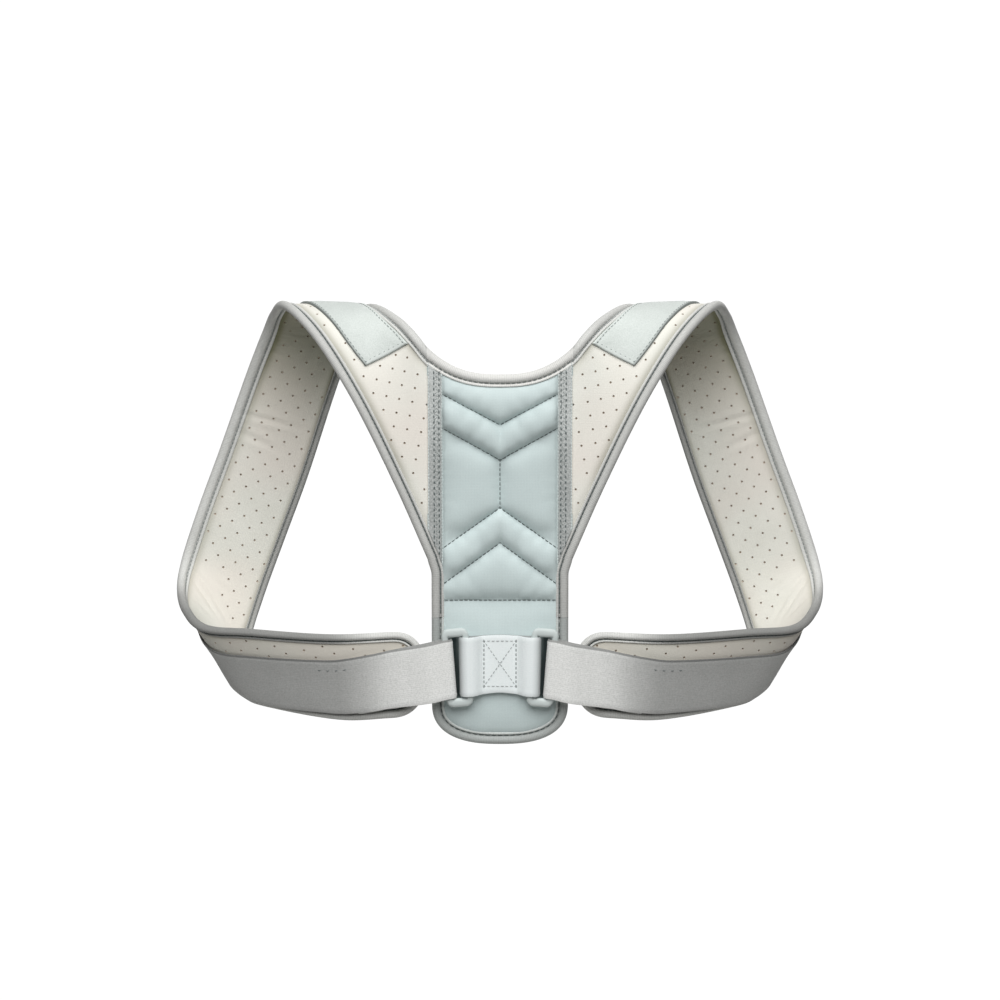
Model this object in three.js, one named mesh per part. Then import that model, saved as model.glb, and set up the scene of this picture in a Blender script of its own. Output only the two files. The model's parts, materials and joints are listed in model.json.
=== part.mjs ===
// Clavicle brace: a quilted back pad, two foam shoulder straps that loop round the arms, and
// two pull webbings that run through rectangular rings on a centre tab.
//
// Frame: millimetres, +Z up, +X to the right seen from behind the wearer, +Y towards the chest.
// The origin lies midway between the two strap crests, where the brace hangs on the shoulders.
// Pieces are modelled with the pad's middle layer at zero depth, and the finished brace is then
// moved back so that the crests come level with the origin. Right-hand pieces are modelled, with
// "out" as the distance from the middle, and left-hand pieces are their mirror images.

import * as THREE from 'three';

// Soft layers
const STRAP_THICK = 3.0;
const BINDING_WIDTH = 7.0;
const BINDING_THICK = 0.9;
const WEBBING_WIDTH = 38.0;
const WEBBING_THICK = 1.6;
const TAB_THICK = 1.6;
const TAPE_THICK = 0.8;
const FIT_GAP = 0.3;
const FLAP_GAP = 0.5;

// Back pad
const PAD_HALF_WIDTH = 43.7;
const PAD_SEAM_OUT = 46.0;
const PAD_FLARE_LOW = -176.0;
const PAD_FLARE_HIGH = -158.0;
const CLOTH_FLARE_LOW = -166.0;
const CLOTH_FLARE_HIGH = -148.0;
const PAD_BOTTOM = -277.8;
const PAD_ROUND_HEIGHT = 27.0;
const PAD_ROUND_POWER = 2.5;
const NECK_MIDDLE = -40.2;
const NECK_RISE = 17.4;
const NECK_POWER = 2.6;
const PANEL_HALF_WIDTH = 37.2;
const PANEL_HEM = 8.0;
const TAPE_WIDTH = 6.4;
const TAPE_FOOT = [-164, -139];
const HEM_JOIN = -195.0;
const LINING_RISE = 1.8;
const LINING_FOOT_SHARE = 0.94;
const LINING_FACE_SHARE = 0.9;

// Quilting channels on the pad. Each row is one sewn channel: its height in the middle and at
// the sides, how far the cell above it swells, and whether that cell is split down the middle.
const QUILT_CHANNELS = [
  { channel: 'upper_vee', middle: -72.0, side: -47.5, swell: 4.2, split: false },
  { channel: 'lower_vee', middle: -94.3, side: -68.8, swell: 4.6, split: false },
  { channel: 'upper_peak', middle: -124.8, side: -156.3, swell: 5.0, split: true },
  { channel: 'lower_peak', middle: -147.2, side: -178.0, swell: 4.6, split: false },
  { channel: 'crossbar', middle: -184.0, side: -184.0, swell: 4.2, split: false },
];
const LOWER_FIELD_SWELL = 3.1;
const CROWN_POWER = 4;
const SPLIT_DEPTH = 0.75;
const SPLIT_REACH = 0.34;
const ROWS_PER_CELL = 4;
const FIELD_ROWS = 9;
const FIELD_EASE = 1 / 3;
const PANEL_COLUMNS = 12;
const NECK_STEPS = 16;
const HEM_STEPS = 18;

// Shoulder strap. Each row is one section from the edge at the arm to the edge at the neck or
// body, as [out, towards the chest, height].
const STRAP_SECTIONS = [
  { at: 'pad_seam', arm: [46, 0, -158], body: [46, 0, -22.8] },
  { at: 'wing_low', arm: [66, 0, -112], body: [50.5, 1, -17.3] },
  { at: 'wing_top', arm: [95, 4, -54], body: [60.2, 13, -7.8] },
  { at: 'shoulder_back', arm: [120.3, 18, -16.6], body: [70.2, 28, -2.9] },
  { at: 'crest', arm: [141.5, 50, -0.4], body: [80, 50, -2.3] },
  { at: 'shoulder_front', arm: [150.5, 77, -8], body: [87, 78, -7.5] },
  { at: 'chest_top', arm: [156.5, 91, -20], body: [94, 93, -20] },
  { at: 'chest_high', arm: [167, 101, -45], body: [109, 105, -60] },
  { at: 'chest', arm: [188, 105, -102], body: [129, 105, -120] },
  { at: 'chest_low', arm: [203, 104, -142], body: [144, 103, -160] },
  { at: 'underarm_front', arm: [213.5, 98, -175], body: [158, 98, -198] },
  { at: 'underarm_turn', arm: [214, 80, -188], body: [167, 88, -227] },
  { at: 'side', arm: [206.5, 52, -199], body: [170.5, 65, -252.5] },
  { at: 'side_back', arm: [193, 30, -206], body: [162, 42, -258] },
  { at: 'back_outer', arm: [160, 12, -205.5], body: [145, 26, -260] },
  { at: 'back_inner', arm: [107, 0, -206.5], body: [100, 9, -264] },
  { at: 'tongue', arm: [70, 0, -205], body: [70, 3, -261.5] },
  { at: 'tip', arm: [46.8, 0, -204], body: [46.8, 2, -260] },
];
const CREST_DEPTH = 50;
const STEPS_PER_SECTION = 3;
const STRAP_COLUMNS = 4;
const TONGUE_POWER = 2.4;
const TONGUE_STEPS = 6;
const TONGUE_TURNS = 14;
const TONGUE_SWEEP = THREE.MathUtils.degToRad(82);
const SMALL_STEP = 0.02;

// Shoulder tab: sections where it starts and ends, how much later the arm side starts, and
// its distances from the strap's two edges.
const TAB_START = 1.9;
const TAB_END = 6.6;
const TAB_SLANT = 0.5;
const TAB_FROM_ARM = 14.5;
const TAB_FROM_NECK = 8.0;
const TAB_STEPS = 15;
const TAB_SLANT_STEPS = 5;
const TAB_COLUMNS = 3;

// Pull webbing on the strap. Each row is a section number, the distance of the webbing's upper
// edge from the arm edge, and the heights of its two edges above the strap's middle: the lower
// edge rides on the strap's edge tape, and two layers lie on each other near the ring.
const WEBBING_ROUTE = [
  { section: 9.0, drop: 11.0, upper: 2.9, lower: 4.1 },
  { section: 11.0, drop: 17.0, upper: 3.6, lower: 4.4 },
  { section: 12.0, drop: 20.0, upper: 3.3, lower: 4.4 },
  { section: 14.0, drop: 19.0, upper: 2.8, lower: 4.3 },
  { section: 15.0, drop: 16.5, upper: 4.2, lower: 6.0 },
  { section: 16.0, drop: 12.0, upper: 7.0, lower: 7.6 },
];
const WEBBING_SEWN = [
  { section: 15.0, drop: 17.5, upper: 2.5, lower: 4.1 },
  { section: 16.0, drop: 12.5, upper: 4.2, lower: 4.7 },
];
const WEBBING_SEWN_END = 15.3;
const WEBBING_REACH = [12.0, 4.0];
const FOLD_STEPS = 8;

// Rings and the centre tab that holds them
const RING_OUT = 27.0;
const RING_BACK = -9.2;
const RING_HEIGHT = -226.2;
const RING_TILT = THREE.MathUtils.degToRad(4.4);
const RING_WIDTH = 17.4;
const RING_TALL = 49.5;
const RING_BAR = 4.4;
const SLOT_CORNER = 1.0;
const WEBBING_SLIDE = 0.6;
const RING_THICK = 4.0;
const RING_CORNER = 4.0;
const RING_ROUND = 1.6;
const CENTRE_TAB_HALF = 26.0;
const CENTRE_TAB_THICK = 1.4;
const CENTRE_TAB_HEIGHT = -225.0;
const CENTRE_TAB_SEWN_HALF = 11.0;
const CENTRE_TAB_SEWN_THICK = 3.2;
const ROLL_ROUND = 2.6;
const ROLL_FLAT = 3.0;
const ROLL_EASE = 4.0;
const ROLL_SEGMENTS = 4;

// Worked out from the sizes above
const HALF_THICK = STRAP_THICK / 2;
const EDGE_INSET = BINDING_THICK + FIT_GAP;
const FLAP_LOW = HALF_THICK + FLAP_GAP;
const FLAP_HIGH = FLAP_LOW + BINDING_THICK;
const HEM_INSET = EDGE_INSET + FIT_GAP;
const PAD_FACE = -HALF_THICK;
const NECK_SLANT = Math.hypot(1, (NECK_RISE * NECK_POWER) / PAD_SEAM_OUT);
const LAST_SECTION = STRAP_SECTIONS.length - 1;
const TONGUE_SECTION = LAST_SECTION - 1;

const finish = (color, roughness) => new THREE.MeshStandardMaterial({ color, roughness, metalness: 0 });
const FINISH = {
  quilt: finish(0xc4d0d0, 0.55),
  foam: finish(0xe6e1da, 0.9),
  tape: finish(0xbdbfbd, 0.85),
  patch: finish(0xd8dcd4, 0.8),
  webbing: finish(0xb9bab7, 0.75),
  plastic: finish(0xdfe4e4, 0.35),
};

const vec = (x, y, z) => new THREE.Vector3(x, y, z);
const lerp = THREE.MathUtils.lerp;

// Value of a column of a section table at any place between its rows
function between(rows, key, column, place) {
  const last = rows.length - 1;
  for (let i = 0; i < last; i += 1) {
    const from = rows[i][key];
    const to = rows[i + 1][key];
    const share = (place - from) / (to - from);
    if (share <= 1 || i === last - 1) {
      return lerp(rows[i][column], rows[i + 1][column], THREE.MathUtils.clamp(share, 0, 1));
    }
  }
  return rows[last][column];
}

// Closed solid from rings of points: sides between the rings and a flat cap at each end
function loftGeometry(rings, profile) {
  const count = profile.length;
  const positions = rings.flat().flatMap((point) => [point.x, point.y, point.z]);
  const index = [];
  for (let row = 0; row + 1 < rings.length; row += 1) {
    for (let i = 0; i < count; i += 1) {
      const a = row * count + i;
      const b = row * count + (i + 1) % count;
      index.push(a, b, b + count, a, b + count, a + count);
    }
  }
  const clockwise = THREE.ShapeUtils.isClockWise(profile);
  const end = (rings.length - 1) * count;
  for (const [a, b, c] of THREE.ShapeUtils.triangulateShape(profile, [])) {
    const [p, q] = clockwise ? [b, c] : [c, b];
    index.push(a, p, q);
    index.push(end + a, end + q, end + p);
  }
  return outwardGeometry(positions, index);
}

// Indexed geometry whose triangles all face outwards
function outwardGeometry(positions, index) {
  const at = (i) => vec(...positions.slice(3 * i, 3 * i + 3));
  let volume = 0;
  for (let i = 0; i < index.length; i += 3) {
    volume += at(index[i]).dot(at(index[i + 1]).cross(at(index[i + 2])));
  }
  const facing = volume > 0 ? index : [...index].reverse();
  const geometry = new THREE.BufferGeometry();
  geometry.setAttribute('position', new THREE.Float32BufferAttribute(positions, 3));
  geometry.setIndex(facing);
  geometry.computeVertexNormals();
  return geometry;
}

// The same solid on the other side of the body
function mirrored(geometry) {
  const positions = Array.from(geometry.attributes.position.array);
  for (let i = 0; i < positions.length; i += 3) {
    positions[i] = -positions[i];
  }
  const plainIndex = () => Array.from({ length: positions.length / 3 }, (_, i) => i);
  const index = geometry.index ? Array.from(geometry.index.array) : plainIndex();
  return outwardGeometry(positions, index);
}

// Strap surface
function edgeCurve(edge) {
  const points = STRAP_SECTIONS.map((row) => vec(...row[edge]));
  return new THREE.CatmullRomCurve3(points, false, 'centripetal');
}

const armEdge = edgeCurve('arm');
const bodyEdge = edgeCurve('body');

function strapMiddle(section, across) {
  const share = THREE.MathUtils.clamp(section / LAST_SECTION, 0, 1);
  return armEdge.getPoint(share).lerp(bodyEdge.getPoint(share), across);
}

function strapWidth(section) {
  return strapMiddle(section, 0).distanceTo(strapMiddle(section, 1));
}

function strapAlong(section, across) {
  return strapMiddle(section + SMALL_STEP, across).sub(strapMiddle(section - SMALL_STEP, across));
}

// Direction away from the wearer
function strapNormal(section, across) {
  const along = strapAlong(section, across);
  const sideways = strapMiddle(section, 1).sub(strapMiddle(section, 0));
  return along.cross(sideways).normalize();
}

function strapPoint(section, across, lift) {
  return strapMiddle(section, across).addScaledVector(strapNormal(section, across), lift);
}

// Share of the width that lies within a square distance of an edge
function edgeShare(section, edge, distance) {
  const along = strapAlong(section, edge).normalize();
  const sideways = strapMiddle(section, 1).sub(strapMiddle(section, 0)).normalize();
  const slant = along.cross(sideways).length();
  const share = distance / slant / strapWidth(section);
  return edge === 0 ? share : 1 - share;
}

// Half width of the tongue, as a share, at a share of its length
const tongueShare = (along) => (1 - along ** TONGUE_POWER) ** (1 / TONGUE_POWER);

const plainSections = [];
for (let i = 0; i <= TONGUE_SECTION * STEPS_PER_SECTION; i += 1) {
  plainSections.push(i / STEPS_PER_SECTION);
}

// Ring of points round a thin band on the strap surface, between two shares of its width and
// two heights above its middle
function bandRing(section, from, to, low, high, columns) {
  const outer = [];
  const inner = [];
  for (let i = 0; i <= columns; i += 1) {
    const share = lerp(from, to, i / columns);
    outer.push(strapPoint(section, share, high));
    inner.push(strapPoint(section, share, low));
  }
  return [...outer, ...inner.reverse()];
}

// Flat outline of such a ring, for its end caps
function bandProfile(columns) {
  const top = [];
  const bottom = [];
  for (let i = 0; i <= columns; i += 1) {
    top.push(new THREE.Vector2(i, 1));
    bottom.push(new THREE.Vector2(i, 0));
  }
  return [...top, ...bottom.reverse()];
}

function strapGeometry() {
  const rings = plainSections.map((section) => {
    const from = edgeShare(section, 0, EDGE_INSET);
    const to = edgeShare(section, 1, EDGE_INSET);
    return bandRing(section, from, to, -HALF_THICK, HALF_THICK, STRAP_COLUMNS);
  });
  const tongueLength = strapMiddle(TONGUE_SECTION, 0.5).distanceTo(strapMiddle(LAST_SECTION, 0.5));
  const reach = 1 - EDGE_INSET / tongueLength;
  const half = 0.5 - EDGE_INSET / strapWidth(LAST_SECTION);
  for (let i = 1; i <= TONGUE_STEPS; i += 1) {
    const along = Math.sin((i / TONGUE_STEPS) * TONGUE_SWEEP);
    const spread = half * tongueShare(along);
    const section = TONGUE_SECTION + reach * along;
    rings.push(bandRing(section, 0.5 - spread, 0.5 + spread, -HALF_THICK, HALF_THICK, STRAP_COLUMNS));
  }
  return loftGeometry(rings, bandProfile(STRAP_COLUMNS));
}

// Section of a folded edge tape: distance from the finished edge, and height above the middle
const BINDING_PROFILE = [
  [BINDING_WIDTH, FLAP_HIGH],
  [BINDING_THICK, FLAP_HIGH],
  [0, 0],
  [BINDING_THICK, -FLAP_HIGH],
  [BINDING_WIDTH, -FLAP_HIGH],
  [BINDING_WIDTH, -FLAP_LOW],
  [BINDING_THICK, -FLAP_LOW],
  [BINDING_THICK, FLAP_LOW],
  [BINDING_WIDTH, FLAP_LOW],
].map(([inward, height]) => new THREE.Vector2(inward, height));

// Ring of the edge tape where the edge, its inward direction and its face are known
function bindingRing(edge, inward, face) {
  return BINDING_PROFILE.map(({ x, y }) => {
    return edge.clone().addScaledVector(inward, x).addScaledVector(face, y);
  });
}

// Ring of the edge tape on the strap's arm edge (0) or body edge (1)
function strapBindingRing(section, edge) {
  return BINDING_PROFILE.map(({ x, y }) => strapPoint(section, edgeShare(section, edge, x), y));
}

// Point on the tongue's finished edge; turn runs from 0 at the arm edge to 1 at the body edge
function tonguePoint(turn) {
  const angle = turn * Math.PI;
  const power = 2 / TONGUE_POWER;
  const along = Math.sin(angle) ** power;
  const spread = Math.abs(Math.cos(angle)) ** power * Math.sign(Math.cos(angle));
  return { section: TONGUE_SECTION + along, across: 0.5 - 0.5 * spread };
}

function tongueBindingRing(turn) {
  const [before, here, after] = [turn - SMALL_STEP, turn, turn + SMALL_STEP].map((place) => {
    const { section, across } = tonguePoint(place);
    return strapMiddle(section, across);
  });
  const { section, across } = tonguePoint(turn);
  const face = strapNormal(Math.min(section, LAST_SECTION - SMALL_STEP), across);
  const inward = face.clone().cross(after.sub(before)).normalize();
  return bindingRing(here, inward, face);
}

function bindingSideGeometry() {
  const face = vec(0, -1, 0);
  const rings = [HEM_JOIN + FIT_GAP, PAD_FLARE_LOW].map((height) => {
    return bindingRing(vec(padHalf(height), 0, height), vec(-1, 0, 0), face);
  });
  rings.push(...plainSections.map((section) => strapBindingRing(section, 0)));
  for (let i = 1; i < TONGUE_TURNS; i += 1) {
    rings.push(tongueBindingRing(i / TONGUE_TURNS));
  }
  rings.push(...[...plainSections].reverse().map((section) => strapBindingRing(section, 1)));
  return loftGeometry(rings, BINDING_PROFILE);
}

// Pad outline: half width of the finished edge at a height, and height of the neck edge
function padHalf(height) {
  const flare = THREE.MathUtils.smoothstep(height, PAD_FLARE_LOW, PAD_FLARE_HIGH);
  const straight = lerp(PAD_HALF_WIDTH, PAD_SEAM_OUT, flare);
  const down = THREE.MathUtils.clamp((PAD_BOTTOM + PAD_ROUND_HEIGHT - height) / PAD_ROUND_HEIGHT, 0, 1);
  return straight * (1 - down ** PAD_ROUND_POWER) ** (1 / PAD_ROUND_POWER);
}

const neckHeight = (out) => NECK_MIDDLE + NECK_RISE * (Math.abs(out) / PAD_SEAM_OUT) ** NECK_POWER;

function neckBindingGeometry() {
  const reach = PAD_SEAM_OUT - 2 * FIT_GAP;
  const rings = [];
  for (let i = 0; i <= NECK_STEPS; i += 1) {
    const out = lerp(-reach, reach, i / NECK_STEPS);
    const steepness = (Math.abs(out) / PAD_SEAM_OUT) ** (NECK_POWER - 1);
    const slope = Math.sign(out) * ((NECK_RISE * NECK_POWER) / PAD_SEAM_OUT) * steepness;
    const inward = i % NECK_STEPS === 0 ? vec(0, 0, -NECK_SLANT) : vec(slope, 0, -1).normalize();
    rings.push(bindingRing(vec(out, 0, neckHeight(out)), inward, vec(0, -1, 0)));
  }
  return loftGeometry(rings, BINDING_PROFILE);
}

// Point on the pad's lower edge, from the left side (turn -1) round the bottom to the right (1)
function hemPoint(turn) {
  const side = Math.sign(turn);
  const angle = (1 - Math.abs(turn)) * Math.PI / 2;
  const power = 2 / PAD_ROUND_POWER;
  const out = PAD_HALF_WIDTH * Math.cos(angle) ** power;
  return vec(side * out, 0, PAD_BOTTOM + PAD_ROUND_HEIGHT * (1 - Math.sin(angle) ** power));
}

function hemBindingGeometry() {
  const face = vec(0, -1, 0);
  const rings = [bindingRing(vec(-PAD_HALF_WIDTH, 0, HEM_JOIN), vec(1, 0, 0), face)];
  for (let i = 0; i <= HEM_STEPS; i += 1) {
    const turn = lerp(-1, 1, i / HEM_STEPS);
    const after = hemPoint(Math.min(turn + SMALL_STEP, 1));
    const ahead = after.sub(hemPoint(Math.max(turn - SMALL_STEP, -1)));
    const inward = vec(-ahead.z, 0, ahead.x).normalize();
    rings.push(bindingRing(hemPoint(turn), inward, face));
  }
  rings.push(bindingRing(vec(PAD_HALF_WIDTH, 0, HEM_JOIN), vec(-1, 0, 0), face));
  return loftGeometry(rings, BINDING_PROFILE);
}

// Quilted pad: rows that follow the channels, swelling between them, with a raised flat lining on
// the inner face
function padRows() {
  const top = {
    middle: NECK_MIDDLE - HEM_INSET,
    side: neckHeight(PAD_SEAM_OUT) - HEM_INSET * NECK_SLANT,
    curve: NECK_POWER,
  };
  const rows = [{ ...top, swell: 0, split: false }];
  const panelTop = {
    middle: top.middle - PANEL_HEM,
    side: top.side - PANEL_HEM * NECK_SLANT,
    curve: NECK_POWER,
  };
  rows.push({ ...panelTop, swell: 0, split: false });
  let above = panelTop;
  for (const channel of QUILT_CHANNELS) {
    for (let i = 1; i <= ROWS_PER_CELL; i += 1) {
      const share = i / ROWS_PER_CELL;
      rows.push({
        middle: lerp(above.middle, channel.middle, share),
        side: lerp(above.side, channel.side, share),
        curve: lerp(above.curve, 1, share),
        swell: channel.swell * Math.sin(share * Math.PI),
        split: channel.split,
      });
    }
    above = { ...channel, curve: 1 };
  }
  const lowest = PAD_BOTTOM + HEM_INSET;
  const hem = lowest + PANEL_HEM;
  for (let i = 1; i <= FIELD_ROWS; i += 1) {
    const share = i / FIELD_ROWS;
    const height = lerp(above.middle, hem, Math.sin(share * Math.PI / 2));
    const rise = Math.min(1, share / FIELD_EASE) * Math.min(1, (1 - share) / FIELD_EASE);
    rows.push({ middle: height, side: height, curve: 1, swell: LOWER_FIELD_SWELL * rise, split: false });
  }
  for (const height of [(2 * lowest + hem) / 3, lowest]) {
    rows.push({ middle: height, side: height, curve: 1, swell: 0, split: false });
  }
  return rows;
}

// Rounded lower outline of the pad, a set distance inside its finished edge
function roundedHalf(height, inset) {
  const middle = PAD_BOTTOM + PAD_ROUND_HEIGHT;
  const down = THREE.MathUtils.clamp((middle - height) / (PAD_ROUND_HEIGHT - inset), 0, 1);
  return (PAD_HALF_WIDTH - inset) * (1 - down ** PAD_ROUND_POWER) ** (1 / PAD_ROUND_POWER);
}

// Half width of the pad's own cloth, just inside its edge tapes and against the strap seams
function padClothHalf(height) {
  const flare = THREE.MathUtils.smoothstep(height, CLOTH_FLARE_LOW, CLOTH_FLARE_HIGH);
  const widening = PAD_SEAM_OUT - FIT_GAP - PAD_HALF_WIDTH + HEM_INSET;
  return Math.max(roundedHalf(height, HEM_INSET) + flare * widening, PAD_HALF_WIDTH / 4);
}

// Numbers of the grid points round the rim of a block of rows and columns
function gridRim(top, bottom, left, right, columns) {
  const rim = [];
  for (let i = left; i < right; i += 1) {
    rim.push(top * columns + i);
  }
  for (let row = top; row < bottom; row += 1) {
    rim.push(row * columns + right);
  }
  for (let i = right; i > left; i -= 1) {
    rim.push(bottom * columns + i);
  }
  for (let row = bottom; row > top; row -= 1) {
    rim.push(row * columns + left);
  }
  return rim;
}

function padGeometry() {
  const grid = padRows().map((row) => {
    const edge = padClothHalf(row.side);
    const panel = Math.min(PANEL_HALF_WIDTH, Math.max(roundedHalf(row.side, PANEL_HEM), edge / 2));
    const points = [];
    for (let i = -1; i <= PANEL_COLUMNS + 1; i += 1) {
      const share = lerp(-1, 1, THREE.MathUtils.clamp(i / PANEL_COLUMNS, 0, 1));
      const flange = i < 0 || i > PANEL_COLUMNS;
      const out = share * (flange ? edge : panel);
      const height = lerp(row.middle, row.side, (Math.abs(out) / edge) ** row.curve);
      const fromSplit = Math.min(1, Math.abs(share) / SPLIT_REACH);
      const dip = row.split ? SPLIT_DEPTH * (1 - fromSplit) : 0;
      const crown = (1 - Math.abs(share) ** CROWN_POWER) * (1 - dip);
      points.push(vec(out, PAD_FACE - (flange ? 0 : row.swell * crown), height));
    }
    return points;
  });
  const columns = grid[0].length;
  const last = grid.length - 1;
  const front = grid.flat();
  const index = [];
  for (let row = 0; row < last; row += 1) {
    for (let i = 0; i + 1 < columns; i += 1) {
      const a = row * columns + i;
      index.push(a, a + columns, a + columns + 1, a, a + columns + 1, a + 1);
    }
  }
  const rim = gridRim(0, last, 0, columns - 1, columns);
  const liningRim = gridRim(1, last - 2, 1, columns - 2, columns);
  const flat = (loop, share, depth) => loop.map((i) => vec(front[i].x * share, depth, front[i].z));
  const back = flat(rim, 1, HALF_THICK);
  const liningFoot = flat(liningRim, LINING_FOOT_SHARE, HALF_THICK);
  const liningFace = flat(liningRim, LINING_FACE_SHARE, HALF_THICK + LINING_RISE);
  const footStart = front.length + back.length;
  const faceStart = footStart + liningFoot.length;
  rim.forEach((i, k) => {
    const next = (k + 1) % rim.length;
    index.push(i, rim[next], front.length + next, i, front.length + next, front.length + k);
  });
  liningRim.forEach((_, k) => {
    const next = (k + 1) % liningRim.length;
    const foot = footStart + k;
    index.push(foot, footStart + next, faceStart + next, foot, faceStart + next, faceStart + k);
  });
  const outline = (loop) => loop.map((point) => new THREE.Vector2(point.x, point.z));
  for (const [a, b, c] of THREE.ShapeUtils.triangulateShape(outline(back), [outline(liningFoot)])) {
    index.push(front.length + a, front.length + c, front.length + b);
  }
  for (const [a, b, c] of THREE.ShapeUtils.triangulateShape(outline(liningFace), [])) {
    index.push(faceStart + a, faceStart + c, faceStart + b);
  }
  const points = [...front, ...back, ...liningFoot, ...liningFace];
  return outwardGeometry(points.flatMap((point) => [point.x, point.y, point.z]), index);
}

// Knit tape on the pad's flange, beside the strap seam
function seamTapeGeometry() {
  const inner = PANEL_HALF_WIDTH + FIT_GAP;
  const outer = inner + TAPE_WIDTH;
  const below = BINDING_WIDTH * NECK_SLANT;
  const shape = new THREE.Shape([
    new THREE.Vector2(inner, neckHeight(inner) - below),
    new THREE.Vector2(inner, TAPE_FOOT[0]),
    new THREE.Vector2(outer, TAPE_FOOT[1]),
    new THREE.Vector2(outer, neckHeight(outer) - below),
  ]);
  const tape = new THREE.ExtrudeGeometry(shape, { depth: TAPE_THICK, bevelEnabled: false });
  return tape.rotateX(Math.PI / 2).translate(0, PAD_FACE - FIT_GAP, 0);
}

// Flat patch over the shoulder
function shoulderTabGeometry() {
  const low = HALF_THICK + 2 * FIT_GAP;
  const rings = [];
  for (let row = 0; row <= TAB_STEPS; row += 1) {
    const place = lerp(TAB_START, TAB_END, row / TAB_STEPS);
    const slant = TAB_SLANT * Math.max(0, 1 - row / TAB_SLANT_STEPS);
    const outer = [];
    const inner = [];
    for (let i = 0; i <= TAB_COLUMNS; i += 1) {
      const section = place + slant * (0.5 - i / TAB_COLUMNS);
      const from = edgeShare(section, 0, TAB_FROM_ARM);
      const to = edgeShare(section, 1, TAB_FROM_NECK);
      const share = lerp(from, to, i / TAB_COLUMNS);
      outer.push(strapPoint(section, share, low + TAB_THICK));
      inner.push(strapPoint(section, share, low));
    }
    rings.push([...outer, ...inner.reverse()]);
  }
  return loftGeometry(rings, bandProfile(TAB_COLUMNS));
}

// Axes of the right ring: outwards along the pull, and up along its bars
const ringOut = vec(Math.cos(RING_TILT), 0, -Math.sin(RING_TILT));
const ringUp = vec(Math.sin(RING_TILT), 0, Math.cos(RING_TILT));
const ringCentre = vec(RING_OUT, RING_BACK, RING_HEIGHT);

function webbingOnStrap(route, section, side) {
  const drop = between(route, 'section', 'drop', section);
  const upper = between(route, 'section', 'upper', section);
  const lower = between(route, 'section', 'lower', section);
  const width = strapWidth(section);
  return [0, 0.5, 1].map((share) => {
    const across = (drop + share * WEBBING_WIDTH) / width;
    const face = strapNormal(section, across);
    const middle = strapPoint(section, across, lerp(upper, lower, share));
    return { middle, face: face.multiplyScalar(side) };
  });
}

function webbingAtRing(out, back, face) {
  const middle = ringCentre.clone().addScaledVector(ringOut, out).addScaledVector(ringUp, -WEBBING_SLIDE);
  middle.y += back;
  return [0.5, 0, -0.5].map((share) => {
    return { middle: middle.clone().addScaledVector(ringUp, share * WEBBING_WIDTH), face };
  });
}

// Webbing from its free end, along the strap, round the ring's outer bar and back to its seam
function webbingGeometry() {
  const half = WEBBING_THICK / 2;
  const barOut = RING_WIDTH / 2 - RING_BAR / 2;
  const foldBack = RING_THICK / 2 + FLAP_GAP + half;
  const foldOut = RING_BAR / 2 + FLAP_GAP + half;
  const rows = [];
  for (const section of plainSections) {
    if (section >= WEBBING_ROUTE[0].section) {
      rows.push(webbingOnStrap(WEBBING_ROUTE, section, 1));
    }
  }
  for (const reach of WEBBING_REACH) {
    rows.push(webbingAtRing(barOut + reach, -foldBack, vec(0, -1, 0)));
  }
  for (let i = 0; i <= FOLD_STEPS; i += 1) {
    const angle = (i / FOLD_STEPS) * Math.PI;
    const face = ringOut.clone().multiplyScalar(-Math.sin(angle)).add(vec(0, -Math.cos(angle), 0));
    rows.push(webbingAtRing(barOut - foldOut * Math.sin(angle), -foldBack * Math.cos(angle), face));
  }
  for (const reach of [...WEBBING_REACH].reverse()) {
    rows.push(webbingAtRing(barOut + reach, foldBack, vec(0, 1, 0)));
  }
  for (const section of [...plainSections].reverse()) {
    if (section > WEBBING_SEWN_END) {
      rows.push(webbingOnStrap(WEBBING_SEWN, section, -1));
    }
  }
  const rings = rows.map((row) => {
    const outer = row.map(({ middle, face }) => middle.clone().addScaledVector(face, half));
    const inner = row.map(({ middle, face }) => middle.clone().addScaledVector(face, -half));
    return [...outer, ...inner.reverse()];
  });
  return loftGeometry(rings, bandProfile(2));
}

// Rectangle with rounded corners, as a shape or a hole
function roundedRectangle(path, width, tall, radius) {
  const x = width / 2;
  const y = tall / 2;
  path.moveTo(x - radius, -y);
  path.absarc(x - radius, -y + radius, radius, -Math.PI / 2, 0);
  path.absarc(x - radius, y - radius, radius, 0, Math.PI / 2);
  path.absarc(-x + radius, y - radius, radius, Math.PI / 2, Math.PI);
  path.absarc(-x + radius, -y + radius, radius, Math.PI, 1.5 * Math.PI);
  path.closePath();
  return path;
}

function ringGeometry() {
  const inset = RING_ROUND;
  const width = RING_WIDTH - 2 * inset;
  const tall = RING_TALL - 2 * inset;
  const outer = roundedRectangle(new THREE.Shape(), width, tall, RING_CORNER - inset);
  const slotWidth = RING_WIDTH - 2 * RING_BAR + 2 * inset;
  const slotTall = RING_TALL - 2 * RING_BAR + 2 * inset;
  outer.holes.push(roundedRectangle(new THREE.Path(), slotWidth, slotTall, SLOT_CORNER + inset));
  const ring = new THREE.ExtrudeGeometry(outer, {
    depth: RING_THICK - 2 * inset,
    bevelThickness: inset,
    bevelSize: inset,
    bevelSegments: 2,
    curveSegments: 3,
  });
  ring.translate(0, 0, -RING_THICK / 2 + inset).rotateX(Math.PI / 2).rotateY(RING_TILT);
  return ring.translate(RING_OUT, RING_BACK, RING_HEIGHT);
}

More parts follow.
